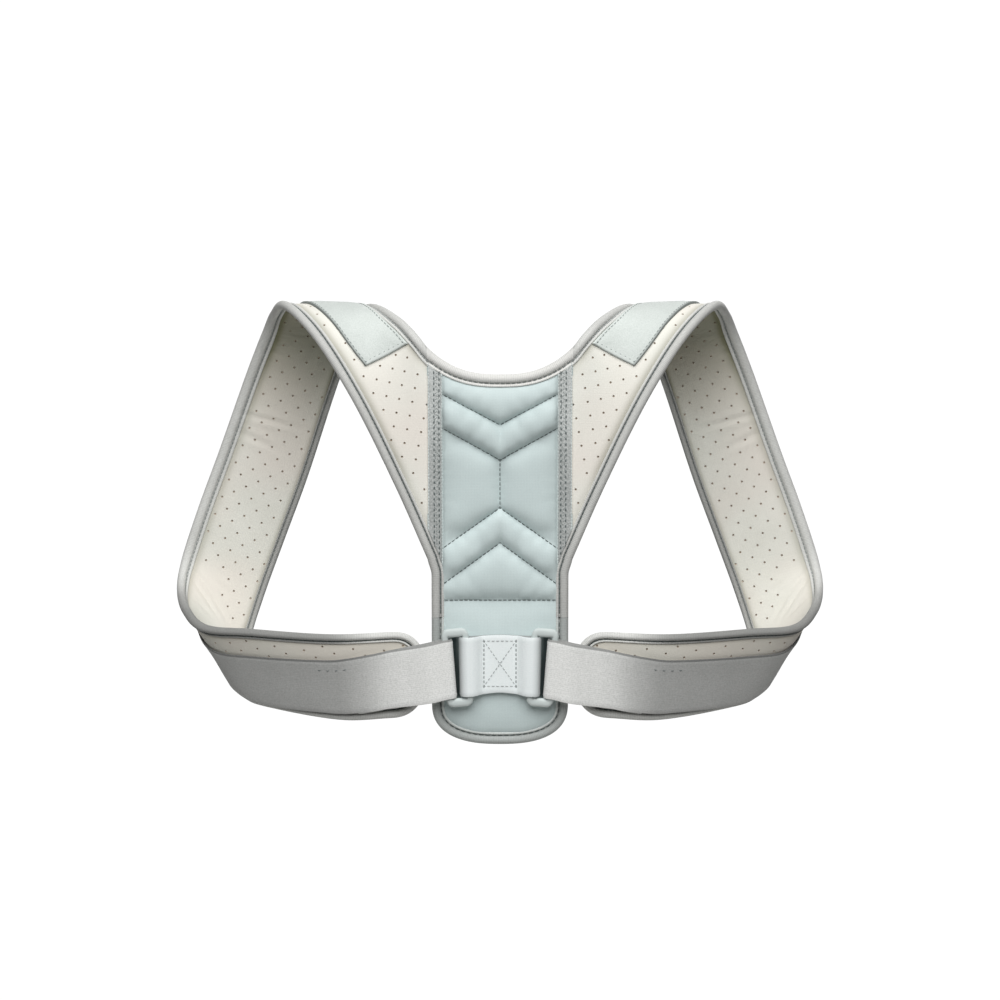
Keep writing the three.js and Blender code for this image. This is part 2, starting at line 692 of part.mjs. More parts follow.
// Tab seen from above: pressed flat where it is sewn, with a pocket for a ring bar at each end
function centreTabGeometry() {
  const back = -(HALF_THICK + LOWER_FIELD_SWELL + FIT_GAP);
  const sewnFace = back - CENTRE_TAB_SEWN_THICK;
  const rollFace = RING_BACK - RING_THICK / 2 - FIT_GAP - CENTRE_TAB_THICK;
  const rollBack = RING_BACK + RING_THICK / 2 + FIT_GAP + CENTRE_TAB_THICK;
  const shape = new THREE.Shape();
  const half = CENTRE_TAB_HALF;
  const turn = half - ROLL_ROUND;
  const rise = turn - ROLL_ROUND - ROLL_FLAT;
  shape.moveTo(-CENTRE_TAB_SEWN_HALF, back);
  shape.lineTo(CENTRE_TAB_SEWN_HALF, back);
  shape.lineTo(turn, rollBack);
  shape.quadraticCurveTo(half, rollBack, half, RING_BACK);
  shape.quadraticCurveTo(half, rollFace, turn, rollFace);
  shape.lineTo(rise, rollFace);
  shape.quadraticCurveTo(rise - ROLL_EASE, rollFace, CENTRE_TAB_SEWN_HALF, sewnFace);
  shape.lineTo(-CENTRE_TAB_SEWN_HALF, sewnFace);
  shape.quadraticCurveTo(ROLL_EASE - rise, rollFace, -rise, rollFace);
  shape.lineTo(-turn, rollFace);
  shape.quadraticCurveTo(-half, rollFace, -half, RING_BACK);
  shape.quadraticCurveTo(-half, rollBack, -turn, rollBack);
  shape.closePath();
  const sway = Math.tan(RING_TILT) * WEBBING_WIDTH / 2;
  const barMiddle = RING_OUT - RING_WIDTH / 2 + RING_BAR / 2;
  const pocketWidth = RING_BAR + 2 * sway + 2 * FIT_GAP;
  const pocketTall = RING_THICK + 2 * FIT_GAP;
  for (const side of [-1, 1]) {
    const middle = new THREE.Vector2(side * barMiddle, RING_BACK);
    const pocket = roundedRectangle(new THREE.Path(), pocketWidth, pocketTall, SLOT_CORNER);
    shape.holes.push(new THREE.Path(pocket.getPoints(2).map((point) => point.add(middle))));
  }
  const tab = new THREE.ExtrudeGeometry(shape, {
    depth: WEBBING_WIDTH,
    bevelEnabled: false,
    curveSegments: ROLL_SEGMENTS,
  });
  return tab.translate(0, 0, CENTRE_TAB_HEIGHT - WEBBING_WIDTH / 2);
}

const brace = new THREE.Group();
brace.position.y = -CREST_DEPTH;

function addPiece(name, geometry, material) {
  const mesh = new THREE.Mesh(geometry, material);
  mesh.name = name;
  brace.add(mesh);
}

// A right-hand piece and its mirror image on the left
function addPair(name, geometry, material) {
  addPiece(`${name}_right`, geometry, material);
  addPiece(`${name}_left`, mirrored(geometry), material);
}

addPiece('spine_pad', padGeometry(), FINISH.quilt);
addPiece('binding_neck', neckBindingGeometry(), FINISH.tape);
addPiece('binding_hem', hemBindingGeometry(), FINISH.tape);
addPiece('centre_tab', centreTabGeometry(), FINISH.webbing);
addPair('strap', strapGeometry(), FINISH.foam);
addPair('binding', bindingSideGeometry(), FINISH.tape);
addPair('seam_tape', seamTapeGeometry(), FINISH.tape);
addPair('shoulder_tab', shoulderTabGeometry(), FINISH.patch);
addPair('webbing', webbingGeometry(), FINISH.webbing);
addPair('ring', ringGeometry(), FINISH.plastic);

export default brace;
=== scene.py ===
# %% [markdown]
# # A clavicle brace for the studio
# The brace is a quilted back pad with two soft straps that loop round the shoulders, and two pull
# webbings that run through rings on a sewn tab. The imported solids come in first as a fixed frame.
# Every piece below is then built in the same frame and takes the place of its plain solid.

# %% Load the frame
import json
import math

import bpy
import numpy as np
from mathutils import Matrix, Vector

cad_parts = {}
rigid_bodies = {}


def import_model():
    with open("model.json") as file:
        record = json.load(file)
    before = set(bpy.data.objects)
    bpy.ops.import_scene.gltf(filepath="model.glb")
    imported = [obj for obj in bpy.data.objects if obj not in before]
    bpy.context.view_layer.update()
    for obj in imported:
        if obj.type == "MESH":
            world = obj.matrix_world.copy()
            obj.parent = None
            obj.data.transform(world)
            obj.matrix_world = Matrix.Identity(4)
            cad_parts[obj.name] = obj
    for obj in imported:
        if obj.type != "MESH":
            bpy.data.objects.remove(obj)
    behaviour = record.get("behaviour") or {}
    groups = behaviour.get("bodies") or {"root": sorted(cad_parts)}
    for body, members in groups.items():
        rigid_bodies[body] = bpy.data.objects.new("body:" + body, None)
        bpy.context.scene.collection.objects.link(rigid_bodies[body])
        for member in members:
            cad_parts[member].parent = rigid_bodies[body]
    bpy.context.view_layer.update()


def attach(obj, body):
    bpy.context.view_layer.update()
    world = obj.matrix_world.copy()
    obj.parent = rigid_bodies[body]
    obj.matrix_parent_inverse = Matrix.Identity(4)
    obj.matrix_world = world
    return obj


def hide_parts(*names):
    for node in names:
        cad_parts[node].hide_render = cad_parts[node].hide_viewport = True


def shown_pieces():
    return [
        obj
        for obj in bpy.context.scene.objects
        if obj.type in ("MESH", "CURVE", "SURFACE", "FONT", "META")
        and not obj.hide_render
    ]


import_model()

# %% [markdown]
# ## Meshes from grids of points
# Cloth is a grid: rows along it and columns across it. One helper turns two such grids, an outer
# and an inner face, into a closed slab with a rim, and all soft pieces use it. Lengths are in
# millimetres with the pad's middle layer at zero depth, and become metres in the part's frame here.

# %% Grid helpers
MM = 0.001
PAD_DEPTH = -50.0


def grid_faces(rows, columns, wrap=False, close=False):
    """Quads of a grid; wrap joins its last column to the first, and close its last row."""
    row, column = np.meshgrid(
        np.arange(rows if close else rows - 1), np.arange(columns if wrap else columns - 1), indexing="ij")
    above, below, right = row * columns, (row + 1) % rows * columns, (column + 1) % columns
    return np.stack([above + column, above + right, below + right, below + column], -1).reshape(-1, 4)


def grid_uv(uv):
    """Corner coordinates for those quads; uv has one more row or column where the grid closes."""
    return np.stack([uv[:-1, :-1], uv[:-1, 1:], uv[1:, 1:], uv[1:, :-1]], 2).reshape(-1, 4, 2)


def add_object(name, data):
    """A new object in the scene, with no move or turn of its own."""
    thing = bpy.data.objects.new(name, data)
    bpy.context.scene.collection.objects.link(thing)
    return thing


def piece_from(name, points, faces, uv, material, sharp=50):
    """A mesh object with outward faces, from points in millimetres and quads with corner UVs."""
    points = np.asarray(points, float).reshape(-1, 3)
    a, b, c, d = (points[faces[:, k]] for k in range(4))
    if (a * (np.cross(b, c) + np.cross(c, d))).sum() < 0:
        faces, uv = faces[:, ::-1], uv[:, ::-1]
    mesh = bpy.data.meshes.new(name)
    mesh.from_pydata(((points + [0, PAD_DEPTH, 0]) * MM).tolist(), [], faces.tolist())
    layer = mesh.uv_layers.new(name="cloth")
    layer.data.foreach_set("uv", (uv * MM).astype(np.float32).ravel())
    mesh.shade_smooth()
    mesh.set_sharp_from_angle(angle=math.radians(sharp))
    mesh.materials.append(material)
    return add_object(name, mesh)


def slab(name, outer, inner, uv, material, close=False, shift=0.0, sharp=50):
    """Closed slab between two grids. The inner face's UVs lie shift millimetres further across."""
    rows, columns = outer.shape[:2]
    count = rows * columns
    face = grid_faces(rows, columns, close=close)
    face_uv = grid_uv(uv)
    if close:
        loops = [np.arange(rows) * columns, (np.arange(rows) * columns + columns - 1)[::-1]]
    else:
        top, right = np.arange(columns - 1), np.arange(rows - 1) * columns + columns - 1
        loops = [np.concatenate([top, right, count - 1 - top, (rows - 1 - np.arange(rows - 1)) * columns])]
    rims = []
    for loop in loops:
        after = np.roll(loop, -1)
        rims.append(np.stack([after, loop, loop + count, after + count], -1))
    rim = np.concatenate(rims)
    flat_uv = uv[:rows, :columns].reshape(-1, 2)
    rim_uv = flat_uv[rim % count]
    points = np.concatenate([outer.reshape(-1, 3), inner.reshape(-1, 3)])
    faces = np.concatenate([face, face[:, ::-1] + count, rim])
    return piece_from(name, points, faces, np.concatenate([face_uv, face_uv[:, ::-1] + [0, shift], rim_uv]),
                      material, sharp)


def add_twin(piece):
    """The left piece of a pair, mirrored from the right one, with its faces turned outwards again."""
    name = piece.name.replace("_right", "_left")
    mesh = piece.data.copy()
    mesh.name = name
    mesh.transform(Matrix.Scale(-1, 4, (1, 0, 0)))
    mesh.flip_normals()
    return add_object(name, mesh)


print("grid helpers ready, pad plane at", PAD_DEPTH * MM)

# %% Small sums
def unit(vectors):
    return vectors / np.maximum(np.linalg.norm(vectors, axis=-1, keepdims=True), 1e-9)


def blend(a, b, share):
    return a + (b - a) * share


def ease(value, low, high):
    share = np.clip((value - low) / (high - low), 0, 1)
    return share * share * (3 - 2 * share)


def within(value, rise, fall):
    """Eases up from 0 to 1 over one range and back down over another."""
    return ease(value, *rise) * (1 - ease(value, *fall))


def bell(value, middle, half):
    """1 in the middle, falling off smoothly to 0 on both sides."""
    return np.exp(-((value - middle) / half) ** 2)


def together(first, second):
    """Two sets of numbers, spread out to one shape."""
    return np.broadcast_arrays(np.asarray(first, float), np.asarray(second, float))


def pairs(rows, columns):
    """A grid of pairs, from a number for each row and one for each column."""
    return np.stack(together(rows[:, None], columns[None]), -1)


def travel(points):
    """Distance from the first point along a row of points."""
    return np.concatenate([[0], np.cumsum(np.linalg.norm(np.diff(points, axis=0), axis=-1))])


def travel_round(points):
    """The same round a closed row of points, and back to the first."""
    return travel(np.concatenate([points, points[:1]]))


def set_values(piece, name, values, domain="POINT"):
    """Stores one number for each point, or for each face corner, under a name."""
    stored = piece.data.attributes.new(name, "FLOAT", domain)
    stored.data.foreach_set("value", np.asarray(values, np.float32).ravel())


print("a bell is", round(float(bell(1.0, 0.0, 1.0)), 2), "high at its half width")

# %% [markdown]
# ## Finishes
# Every cloth here is a woven, knitted or brushed surface, so one recipe serves them all: threads as
# sine waves along the cloth's own UV, a fine grain and a slow blotch from noise, all three mixed
# into colour, roughness and bump. Each finish then has its own thread pitch, colours and sheen.

# %% Node helpers
def wire(tree, kind, inputs=None, **settings):
    """Adds a node, sets its settings, and links or fills its inputs by name or number."""
    node = tree.nodes.new(kind)
    for key, value in settings.items():
        setattr(node, key, value)
    for key, value in (inputs or {}).items():
        if isinstance(value, bpy.types.NodeSocket):
            tree.links.new(value, node.inputs[key])
        else:
            node.inputs[key].default_value = value
    return node


def math_node(tree, operation, first, second=0.0):
    return wire(tree, "ShaderNodeMath", {0: first, 1: second}, operation=operation).outputs[0]


def new_material(name):
    """A material with nodes, and with it their tree and the shader."""
    material = bpy.data.materials.new(name)
    material.use_nodes = True
    return material, material.node_tree, material.node_tree.nodes["Principled BSDF"]


def object_place(tree):
    return wire(tree, "ShaderNodeTexCoord").outputs["Object"]


def rgb(red, green, blue):
    """A colour as seen on screen, in numbers to 255, as the light that it stands for."""
    shares = np.array([red, green, blue]) / 255
    return tuple(np.where(shares <= 0.04045, shares / 12.92, ((shares + 0.055) / 1.055) ** 2.4)) + (1.0,)


def noise(tree, vector, scale, detail=2.0):
    return wire(tree, "ShaderNodeTexNoise", {"Vector": vector, "Scale": scale, "Detail": detail}).outputs[0]


def stretched(tree, value, low, high):
    """A value's range from low to high, stretched to 0 to 1."""
    return wire(tree, "ShaderNodeMapRange", {0: value, 1: low, 2: high}).outputs[0]


def mixed(tree, share, first, second, way="MIX"):
    """Two colours mixed by a share."""
    return wire(tree, "ShaderNodeMix", {"Factor": share, 6: first, 7: second},
                data_type="RGBA", blend_type=way).outputs[2]


def weighted(tree, parts):
    """The mean of several values by their weights."""
    total = math_node(tree, "MULTIPLY", *parts[0])
    for value, weight in parts[1:]:
        total = math_node(tree, "ADD", total, math_node(tree, "MULTIPLY", value, weight))
    return math_node(tree, "DIVIDE", total, sum(weight for _, weight in parts))


print("white is", rgb(255, 255, 255))

# %% The cloth recipe
BLOTCH_SCALE, CLOUD_SCALE, STREAK_SCALES = 55.0, 16.0, (90.0, 1300.0, 1.0)
MIX_RANGE, CLOUD_RANGE = (0.25, 0.75), (0.4, 0.65)
GRAIN_ROUGHNESS, BUMP_STRENGTH, SHEEN_ROUGHNESS, CLOTH_SPECULAR = 0.2, 0.7, 0.4, 0.3


def thread_waves(tree, flat, pitch):
    """Ridges along and across the cloth, one sine wave for each pitch that isn't 0."""
    waves = []
    for place, spacing in zip(wire(tree, "ShaderNodeSeparateXYZ", {0: flat}).outputs, pitch):
        if spacing:
            turn = math_node(tree, "SINE", math_node(tree, "MULTIPLY", place, 2 * math.pi / spacing))
            waves.append(math_node(tree, "ADD", math_node(tree, "MULTIPLY", turn, 0.5), 0.5))
    return waves[0] if len(waves) == 1 else math_node(tree, "MAXIMUM", *waves)


# Tones are painted shade.
def toned(tree, colour, flat, axis, levels):
    """Darkens a colour by levels that are set at distances in millimetres along one axis of the cloth."""
    place = wire(tree, "ShaderNodeSeparateXYZ", {0: flat}).outputs[axis]
    ramp = wire(tree, "ShaderNodeValToRGB", {0: math_node(tree, "DIVIDE", place, levels[-1][0] * MM)})
    while len(ramp.color_ramp.elements) < len(levels):
        ramp.color_ramp.elements.new(1.0)
    for stop, (far, level) in zip(ramp.color_ramp.elements, levels):
        stop.position = far / levels[-1][0]
        stop.color = (level, level, level, 1)
    return mixed(tree, 1.0, colour, ramp.outputs[0], "MULTIPLY")


def cloth_finish(name, light, dark, weave, grain, blotch, roughness, sheen, bump, pitch=(0.0, 0.0),
                 grain_size=0.0008, pebble=0.0, streak=0.0, hole=None, shade=None, tint=None,
                 tone=None, across_tone=None):
    """pitch is the thread spacing along and across in metres; weave, grain, blotch and streak are
    weights. A pebble size makes a knobbly knit in place of threads, hole colours punched walls, shade
    is the colour of painted shade where little light falls, tint is a second colour in large clouds,
    and the tones are painted shade that darkens places along and across the cloth, in millimetres."""
    material, tree, shader = new_material(name)
    flat = wire(tree, "ShaderNodeUVMap", uv_map="cloth").outputs[0]
    where = object_place(tree)
    if pebble:
        knob = wire(tree, "ShaderNodeTexVoronoi", {"Vector": where, "Scale": 1 / pebble})
        threads = math_node(tree, "SUBTRACT", 1.0, knob.outputs["Distance"])
    else:
        threads = thread_waves(tree, flat, pitch)
    fine = noise(tree, where, 1 / grain_size)
    parts = [(threads, weave), (fine, grain), (noise(tree, where, BLOTCH_SCALE, 3.0), blotch)]
    if streak:
        drawn = wire(tree, "ShaderNodeVectorMath", {0: flat, 1: STREAK_SCALES}, operation="MULTIPLY")
        parts.append((noise(tree, drawn.outputs[0], 1.0), streak))
    colour = mixed(tree, stretched(tree, weighted(tree, parts), *MIX_RANGE), dark, light)
    if tint:
        cloud = stretched(tree, noise(tree, where, CLOUD_SCALE, 1.0), *CLOUD_RANGE)
        colour = mixed(tree, cloud, colour, tint)
    for axis, levels in enumerate((tone, across_tone)):
        if levels:
            colour = toned(tree, colour, flat, axis, levels)
    for mark, marked in (("hole", hole), ("shade", shade)):
        if marked:
            share = wire(tree, "ShaderNodeAttribute", attribute_name=mark).outputs["Fac"]
            colour = mixed(tree, share, colour, marked)
    tree.links.new(colour, shader.inputs["Base Color"])
    rough = math_node(tree, "MULTIPLY", fine, GRAIN_ROUGHNESS)
    rough = math_node(tree, "ADD", rough, roughness - GRAIN_ROUGHNESS / 2)
    tree.links.new(rough, shader.inputs["Roughness"])
    height = weighted(tree, parts[:2] + parts[3:])
    raised = wire(tree, "ShaderNodeBump", {"Strength": BUMP_STRENGTH, "Distance": bump, "Height": height})
    tree.links.new(raised.outputs[0], shader.inputs["Normal"])
    shader.inputs["Sheen Weight"].default_value = sheen
    shader.inputs["Sheen Roughness"].default_value = SHEEN_ROUGHNESS
    shader.inputs["Specular IOR Level"].default_value = CLOTH_SPECULAR
    return material


print("cloth recipe ready")

# %% The finishes
# Painted shade in bands down the quilted cover.
PAD_TONE = [  # distance below the shoulders, and how light the pad is there
    (0, 0.87), (58, 0.87), (72, 0.83), (100, 0.87), (130, 0.94), (158, 0.93), (178, 0.87), (190, 1.0),
    (215, 1.0), (255, 0.94), (280, 0.91)]
# Painted shade down the knit tape, darker towards its foot.
KNIT_TONE = [(0, 1.0), (72, 0.97), (90, 0.8), (135, 0.76), (170, 0.72)]
# Each shade colour below is the colour of painted shade, mixed in where the piece's shade attribute is set.
FOAM = cloth_finish(
    "perforated foam cloth", rgb(250, 249, 241), rgb(235, 234, 224), pitch=(0.0011, 0.0011),
    weave=0.25, grain=0.6, blotch=0.8, roughness=0.85, sheen=0.15, bump=0.00016,
    hole=rgb(204, 192, 178), shade=rgb(120, 119, 94), tint=rgb(244, 238, 229))
QUILT = cloth_finish(
    "quilted cover", rgb(221, 235, 234), rgb(204, 218, 218), pitch=(0.0009, 0.0009),
    weave=0.3, grain=0.4, blotch=0.4, roughness=0.6, sheen=0.1, bump=0.00005,
    shade=rgb(56, 68, 68), tone=PAD_TONE)
KNIT = cloth_finish(
    "knit seam tape", rgb(227, 230, 228), rgb(165, 170, 168), pebble=0.0013, grain_size=0.0011,
    weave=0.6, grain=0.7, blotch=0.2, roughness=0.8, sheen=0.2, bump=0.0004, tone=KNIT_TONE)
PATCH = cloth_finish(
    "shoulder patch", rgb(229, 235, 231), rgb(200, 207, 202), pitch=(0.0008, 0.0008),
    weave=0.2, grain=1.0, blotch=0.5, roughness=0.8, sheen=0.25, bump=0.00026, shade=rgb(66, 74, 72))
THREAD_TONES = [("grey thread", rgb(150, 158, 156), rgb(112, 120, 118)),
                ("dark thread", rgb(110, 120, 119), rgb(76, 86, 86)),
                ("silver thread", rgb(192, 197, 196), rgb(160, 166, 165)),
                ("pale thread", rgb(232, 238, 236), rgb(196, 204, 202))]
THREAD, DARK_THREAD, SILVER_THREAD, PALE_THREAD = (
    cloth_finish(*tones, pitch=(0.0004, 0.0), weave=0.5, grain=0.3, blotch=0.2, roughness=0.6,
                 sheen=0.1, bump=0.00005) for tones in THREAD_TONES)
print("cloth finishes", len(bpy.data.materials))

# %% [markdown]
# ## The strap's surface
# On the real brace each strap is one long piece of foam cloth that leaves the pad, goes over the
# shoulder, down the chest, under the arm and back. It is described by two edge curves, at the arm
# and at the body, with straight lines across between them, as a cutter would lay it out. The same
# table of sections is in the part's solids, so both stay in step.

# %% Edge curves of the strap
SECTIONS = [  # arm edge and body edge, each as out, towards the chest, height
    ((46, 0, -158), (46, 0, -22.8)), ((66, 0, -112), (50.5, 1, -17.3)),
    ((95, 4, -54), (60.2, 13, -7.8)), ((120.3, 18, -16.6), (70.2, 28, -2.9)),
    ((141.5, 50, -0.4), (80, 50, -2.3)), ((150.5, 77, -8), (87, 78, -7.5)),
    ((156.5, 91, -20), (94, 93, -20)), ((167, 101, -45), (109, 105, -60)),
    ((188, 105, -102), (129, 105, -120)), ((203, 104, -142), (144, 103, -160)),
    ((213.5, 98, -175), (158, 98, -198)), ((214, 80, -188), (167, 88, -227)),
    ((206.5, 52, -199), (170.5, 65, -252.5)), ((193, 30, -206), (162, 42, -258)),
    ((160, 12, -205.5), (145, 26, -260)), ((107, 0, -206.5), (100, 9, -264)),
    ((70, 0, -205), (70, 3, -261.5)), ((46.8, 0, -204), (46.8, 2, -260)),
]
LAST = len(SECTIONS) - 1
TONGUE = LAST - 1


def smooth_path(points):
    """A curve through points that doesn't overshoot, with one unit of travel between two points."""
    points = np.asarray(points, float)
    padded = np.concatenate([2 * points[:1] - points[1:2], points, 2 * points[-1:] - points[-2:-1]])

    def at(place):
        place = np.clip(np.asarray(place, float), 0, len(points) - 1)
        low = np.minimum(place.astype(int), len(points) - 2)
        t = (place - low).reshape(place.shape + (1,) * (points.ndim - 1))
        a, b, c, d = (padded[low + k] for k in range(4))
        steps = [np.sqrt(np.maximum(np.linalg.norm(q - p, axis=-1, keepdims=True), 1e-6))
                 for p, q in ((a, b), (b, c), (c, d))]
        leave = ((b - a) / steps[0] - (c - a) / (steps[0] + steps[1]) + (c - b) / steps[1]) * steps[1]
        arrive = ((c - b) / steps[1] - (d - b) / (steps[1] + steps[2]) + (d - c) / steps[2]) * steps[1]
        cubic = 2 * b - 2 * c + leave + arrive
        return b + t * (leave + t * (3 * c - 3 * b - 2 * leave - arrive + t * cubic))

    return at


arm_edge = smooth_path([row[0] for row in SECTIONS])
body_edge = smooth_path([row[1] for row in SECTIONS])
print("strap edges through", len(SECTIONS), "sections")

# %% Places on the strap
NUDGE = 0.02  # a short way along the strap, in sections
FINE = 3000  # points on a line that is measured


def strap_middle(section, across):
    section, across = together(section, across)
    return blend(arm_edge(section), body_edge(section), across[..., None])


def strap_along(section, across):
    return strap_middle(section + NUDGE, across) - strap_middle(section - NUDGE, across)


def strap_normal(section, across):
    """Which way the strap's outer face looks."""
    section = np.clip(section, 0.0, LAST - NUDGE)
    return unit(np.cross(strap_along(section, across), body_edge(section) - arm_edge(section)))


def strap_width(section):
    return np.linalg.norm(body_edge(section) - arm_edge(section), axis=-1)


def edge_slant(section, edge):
    """How squarely the line across meets an edge, from 0 to 1."""
    ahead = unit(strap_along(section, edge))
    return np.linalg.norm(np.cross(ahead, unit(body_edge(section) - arm_edge(section))), axis=-1)


def edge_share(section, edge, distance):
    """Share of the width that lies a distance inside an edge."""
    share = distance / edge_slant(section, edge) / strap_width(section)
    return share if edge == 0 else 1 - share


def spaced(first, last, across, step):
    """Sections from first to last, a step of so many millimetres apart."""
    fine = np.linspace(first, last, FINE)
    far = travel(strap_middle(fine, across))
    return np.interp(np.linspace(0, far[-1], int(far[-1] / step) + 1), far, fine)


print("strap middle length", round(travel(strap_middle(np.linspace(0, LAST, FINE), 0.5))[-1], 1), "mm")

# %% [markdown]
# ## The strap's flat pattern
# The foam cloth was punched before it was cut, so its holes are even on the flat cloth and not on
# the bent strap. Unrolling the strap strip by strip, keeping each strip's sides and diagonal, gives
# the flat pattern. It serves as the UV map for the holes and the weave.

# %% Unroll the strap
def meet(first, second, first_reach, second_reach, away):
    """The point at both reaches from two points, on the side away from a third."""
    apart = second - first
    length = np.linalg.norm(apart)
    ahead = apart / length
    along = (first_reach ** 2 - second_reach ** 2 + length ** 2) / (2 * length)
    aside = math.sqrt(max(first_reach ** 2 - along ** 2, 0))
    square = np.array([ahead[1], -ahead[0]])
    return first + ahead * along - square * aside * np.sign((away - first) @ square)


RULINGS = np.linspace(0, LAST, 520)
arm_line, body_line = arm_edge(RULINGS), body_edge(RULINGS)
flat_arm, flat_body = [np.zeros(2)], [np.array([0, strap_width(0.0)])]
behind = np.array([-50.0, 0.0])
for k in range(len(RULINGS) - 1):
    reach = [np.linalg.norm(p - q) for p, q in (
        (arm_line[k], arm_line[k + 1]), (body_line[k], arm_line[k + 1]),
        (body_line[k], body_line[k + 1]), (arm_line[k + 1], body_line[k + 1]))]
    flat_arm.append(meet(flat_arm[k], flat_body[k], reach[0], reach[1], behind))
    flat_body.append(meet(flat_body[k], flat_arm[k + 1], reach[2], reach[3], flat_arm[k]))
    behind = flat_arm[k]
flat_arm, flat_body = np.array(flat_arm), np.array(flat_body)


def flat_place(section, across):
    """Where a point of the strap lies on the flat pattern."""
    section, across = together(section, across)
    arm = np.stack([np.interp(section, RULINGS, flat_arm[:, k]) for k in range(2)], -1)
    body = np.stack([np.interp(section, RULINGS, flat_body[:, k]) for k in range(2)], -1)
    return blend(arm, body, across[..., None])


FLAT_BOX = np.concatenate([flat_arm, flat_body])

# %% [markdown]
# ## Creases
# The cloth bunches where it turns under the arm, and the chest side has a few soft cross folds.
# Simulating the whole strap would lose its match with the solids, so each crease is a short valley,
# seen from inside the strap's loop, with a low ridge along both flanks. It is laid on the flat
# pattern and added along the strap's normal.

# %% Creases of the strap
CREASES = [  # section, across, half length, half width, depth, turn from the strap's direction
    (10.29, 0.26, 5, 1.3, 0.7, 50), (10.55, 0.22, 7, 1.4, 0.7, 38), (10.87, 0.4, 11, 1.6, 1.0, 45),
    (10.79, 0.53, 10, 1.7, 0.9, 44), (10.23, 0.52, 5, 1.5, 0.5, 58), (11.16, 0.37, 8, 1.6, 0.7, 70),
    (7.52, 0.42, 19, 1.9, 0.7, 94), (7.75, 0.33, 13, 2.2, 0.5, 84), (6.25, 0.3, 8, 1.6, 0.5, 90),
    (6.05, 0.34, 9, 1.5, 0.5, 94), (6.6, 0.24, 8, 1.8, 0.4, 88),
]
RIDGE_OUT, RIDGE_SHARE = 1.7, 0.5


def crease(section, across):
    place = flat_place(section, across)
    total = np.zeros(place.shape[:-1])
    for row_section, row_across, length, width, depth, turn in CREASES:
        centre = flat_place(row_section, row_across)
        ahead = unit(flat_place(row_section + 0.05, row_across) - flat_place(row_section - 0.05, row_across))
        angle = math.radians(turn)
        line = np.array([ahead[0] * math.cos(angle) - ahead[1] * math.sin(angle),
                         ahead[0] * math.sin(angle) + ahead[1] * math.cos(angle)])
        offset = place - centre
        along = offset @ line / length
        aside = (offset[..., 0] * line[1] - offset[..., 1] * line[0]) / width
        ridges = bell(aside, RIDGE_OUT, 1) + bell(aside, -RIDGE_OUT, 1)
        total += depth * (bell(aside, 0, 1) - RIDGE_SHARE * ridges) * bell(along, 0, 1)
    return total


def strap_point(section, across, lift):
    raised = np.asarray(lift) + crease(section, across)
    return strap_middle(section, across) + strap_normal(section, across) * raised[..., None]


print("deepest crease", round(float(crease(RULINGS[:, None], np.linspace(0, 1, 40)).max()), 2), "mm")

# %% [markdown]
# ## The foam straps
# The strap is about 3 mm of foam between two cloth faces, squeezed thinner under the stitching of
# its edge tape. Two grids on the strap's surface, half the thickness to each side, make the slab.
# The end near the rings is a rounded tongue, so the last rows draw in like an arch.

# %% Tape widths and foam thickness
EDGE_INSET = 1.2
CHEST_BODY_TAPE, CHEST_ARM_TAPE, LOWER_ARM_TAPE = 0.34, 0.18, 0.24  # changes of width, as shares
BODY_CHEST, ARM_CHEST = ((4.5, 6.0), (10.6, 11.6)), ((5.0, 6.5), (9.6, 10.6))  # sections of the changes
ARM_LOWER = 10.6, 11.8
SEWN_HALF = (  # distance from the edge, and half the foam's thickness there
    [0, 4.2, 5.0, 6.3, 7.2, 8.0, 9.5, 12.5, 18.0],
    [0.9, 0.9, 0.55, 0.55, 0.75, 0.95, 1.2, 1.45, 1.55])
FOAM_HALF = SEWN_HALF[1][-1]


def inner_tape_width(section):
    """The body edge's tape is narrower on the chest, as a share of its full width."""
    return 1 - CHEST_BODY_TAPE * within(section, *BODY_CHEST)


def arm_tape_width(section):
    """The arm edge's tape is wide on the chest and narrow on the lower strap."""
    return 1 + CHEST_ARM_TAPE * within(section, *ARM_CHEST) - LOWER_ARM_TAPE * ease(section, *ARM_LOWER)


print("foam", 2 * FOAM_HALF, "mm thick,", 2 * min(SEWN_HALF[1]), "mm under the seam")

# %% Build the plain strap
TONGUE_POWER, TONGUE_SWEEP, PAD_LAP = 2.4, math.radians(86), 1.5
STRAP_COLUMNS, STRAP_STEP, INNER_UV_SHIFT = 40, 1.7, 5000.0

plain = spaced(0, TONGUE, 0.5, STRAP_STEP)
sweep = np.sin(np.linspace(0, 1, 18)[1:] * TONGUE_SWEEP)
tongue_length = np.linalg.norm(strap_middle(LAST, 0.5) - strap_middle(TONGUE, 0.5))
section_rows = np.concatenate([plain, TONGUE + sweep * (1 - EDGE_INSET / tongue_length)])
half_share = (0.5 - EDGE_INSET / strap_width(float(LAST))) * (1 - sweep ** TONGUE_POWER) ** (1 / TONGUE_POWER)
first = np.concatenate([edge_share(plain, 0, EDGE_INSET), 0.5 - half_share])
final = np.concatenate([edge_share(plain, 1, EDGE_INSET), 0.5 + half_share])
steps = np.linspace(0, 1, STRAP_COLUMNS)
steps = 0.5 * steps + 0.5 * (0.5 - 0.5 * np.cos(math.pi * steps))
strap_s = np.repeat(section_rows[:, None], STRAP_COLUMNS, 1)
strap_v = blend(first[:, None], final[:, None], steps)
strap_flat = flat_place(strap_s, strap_v)

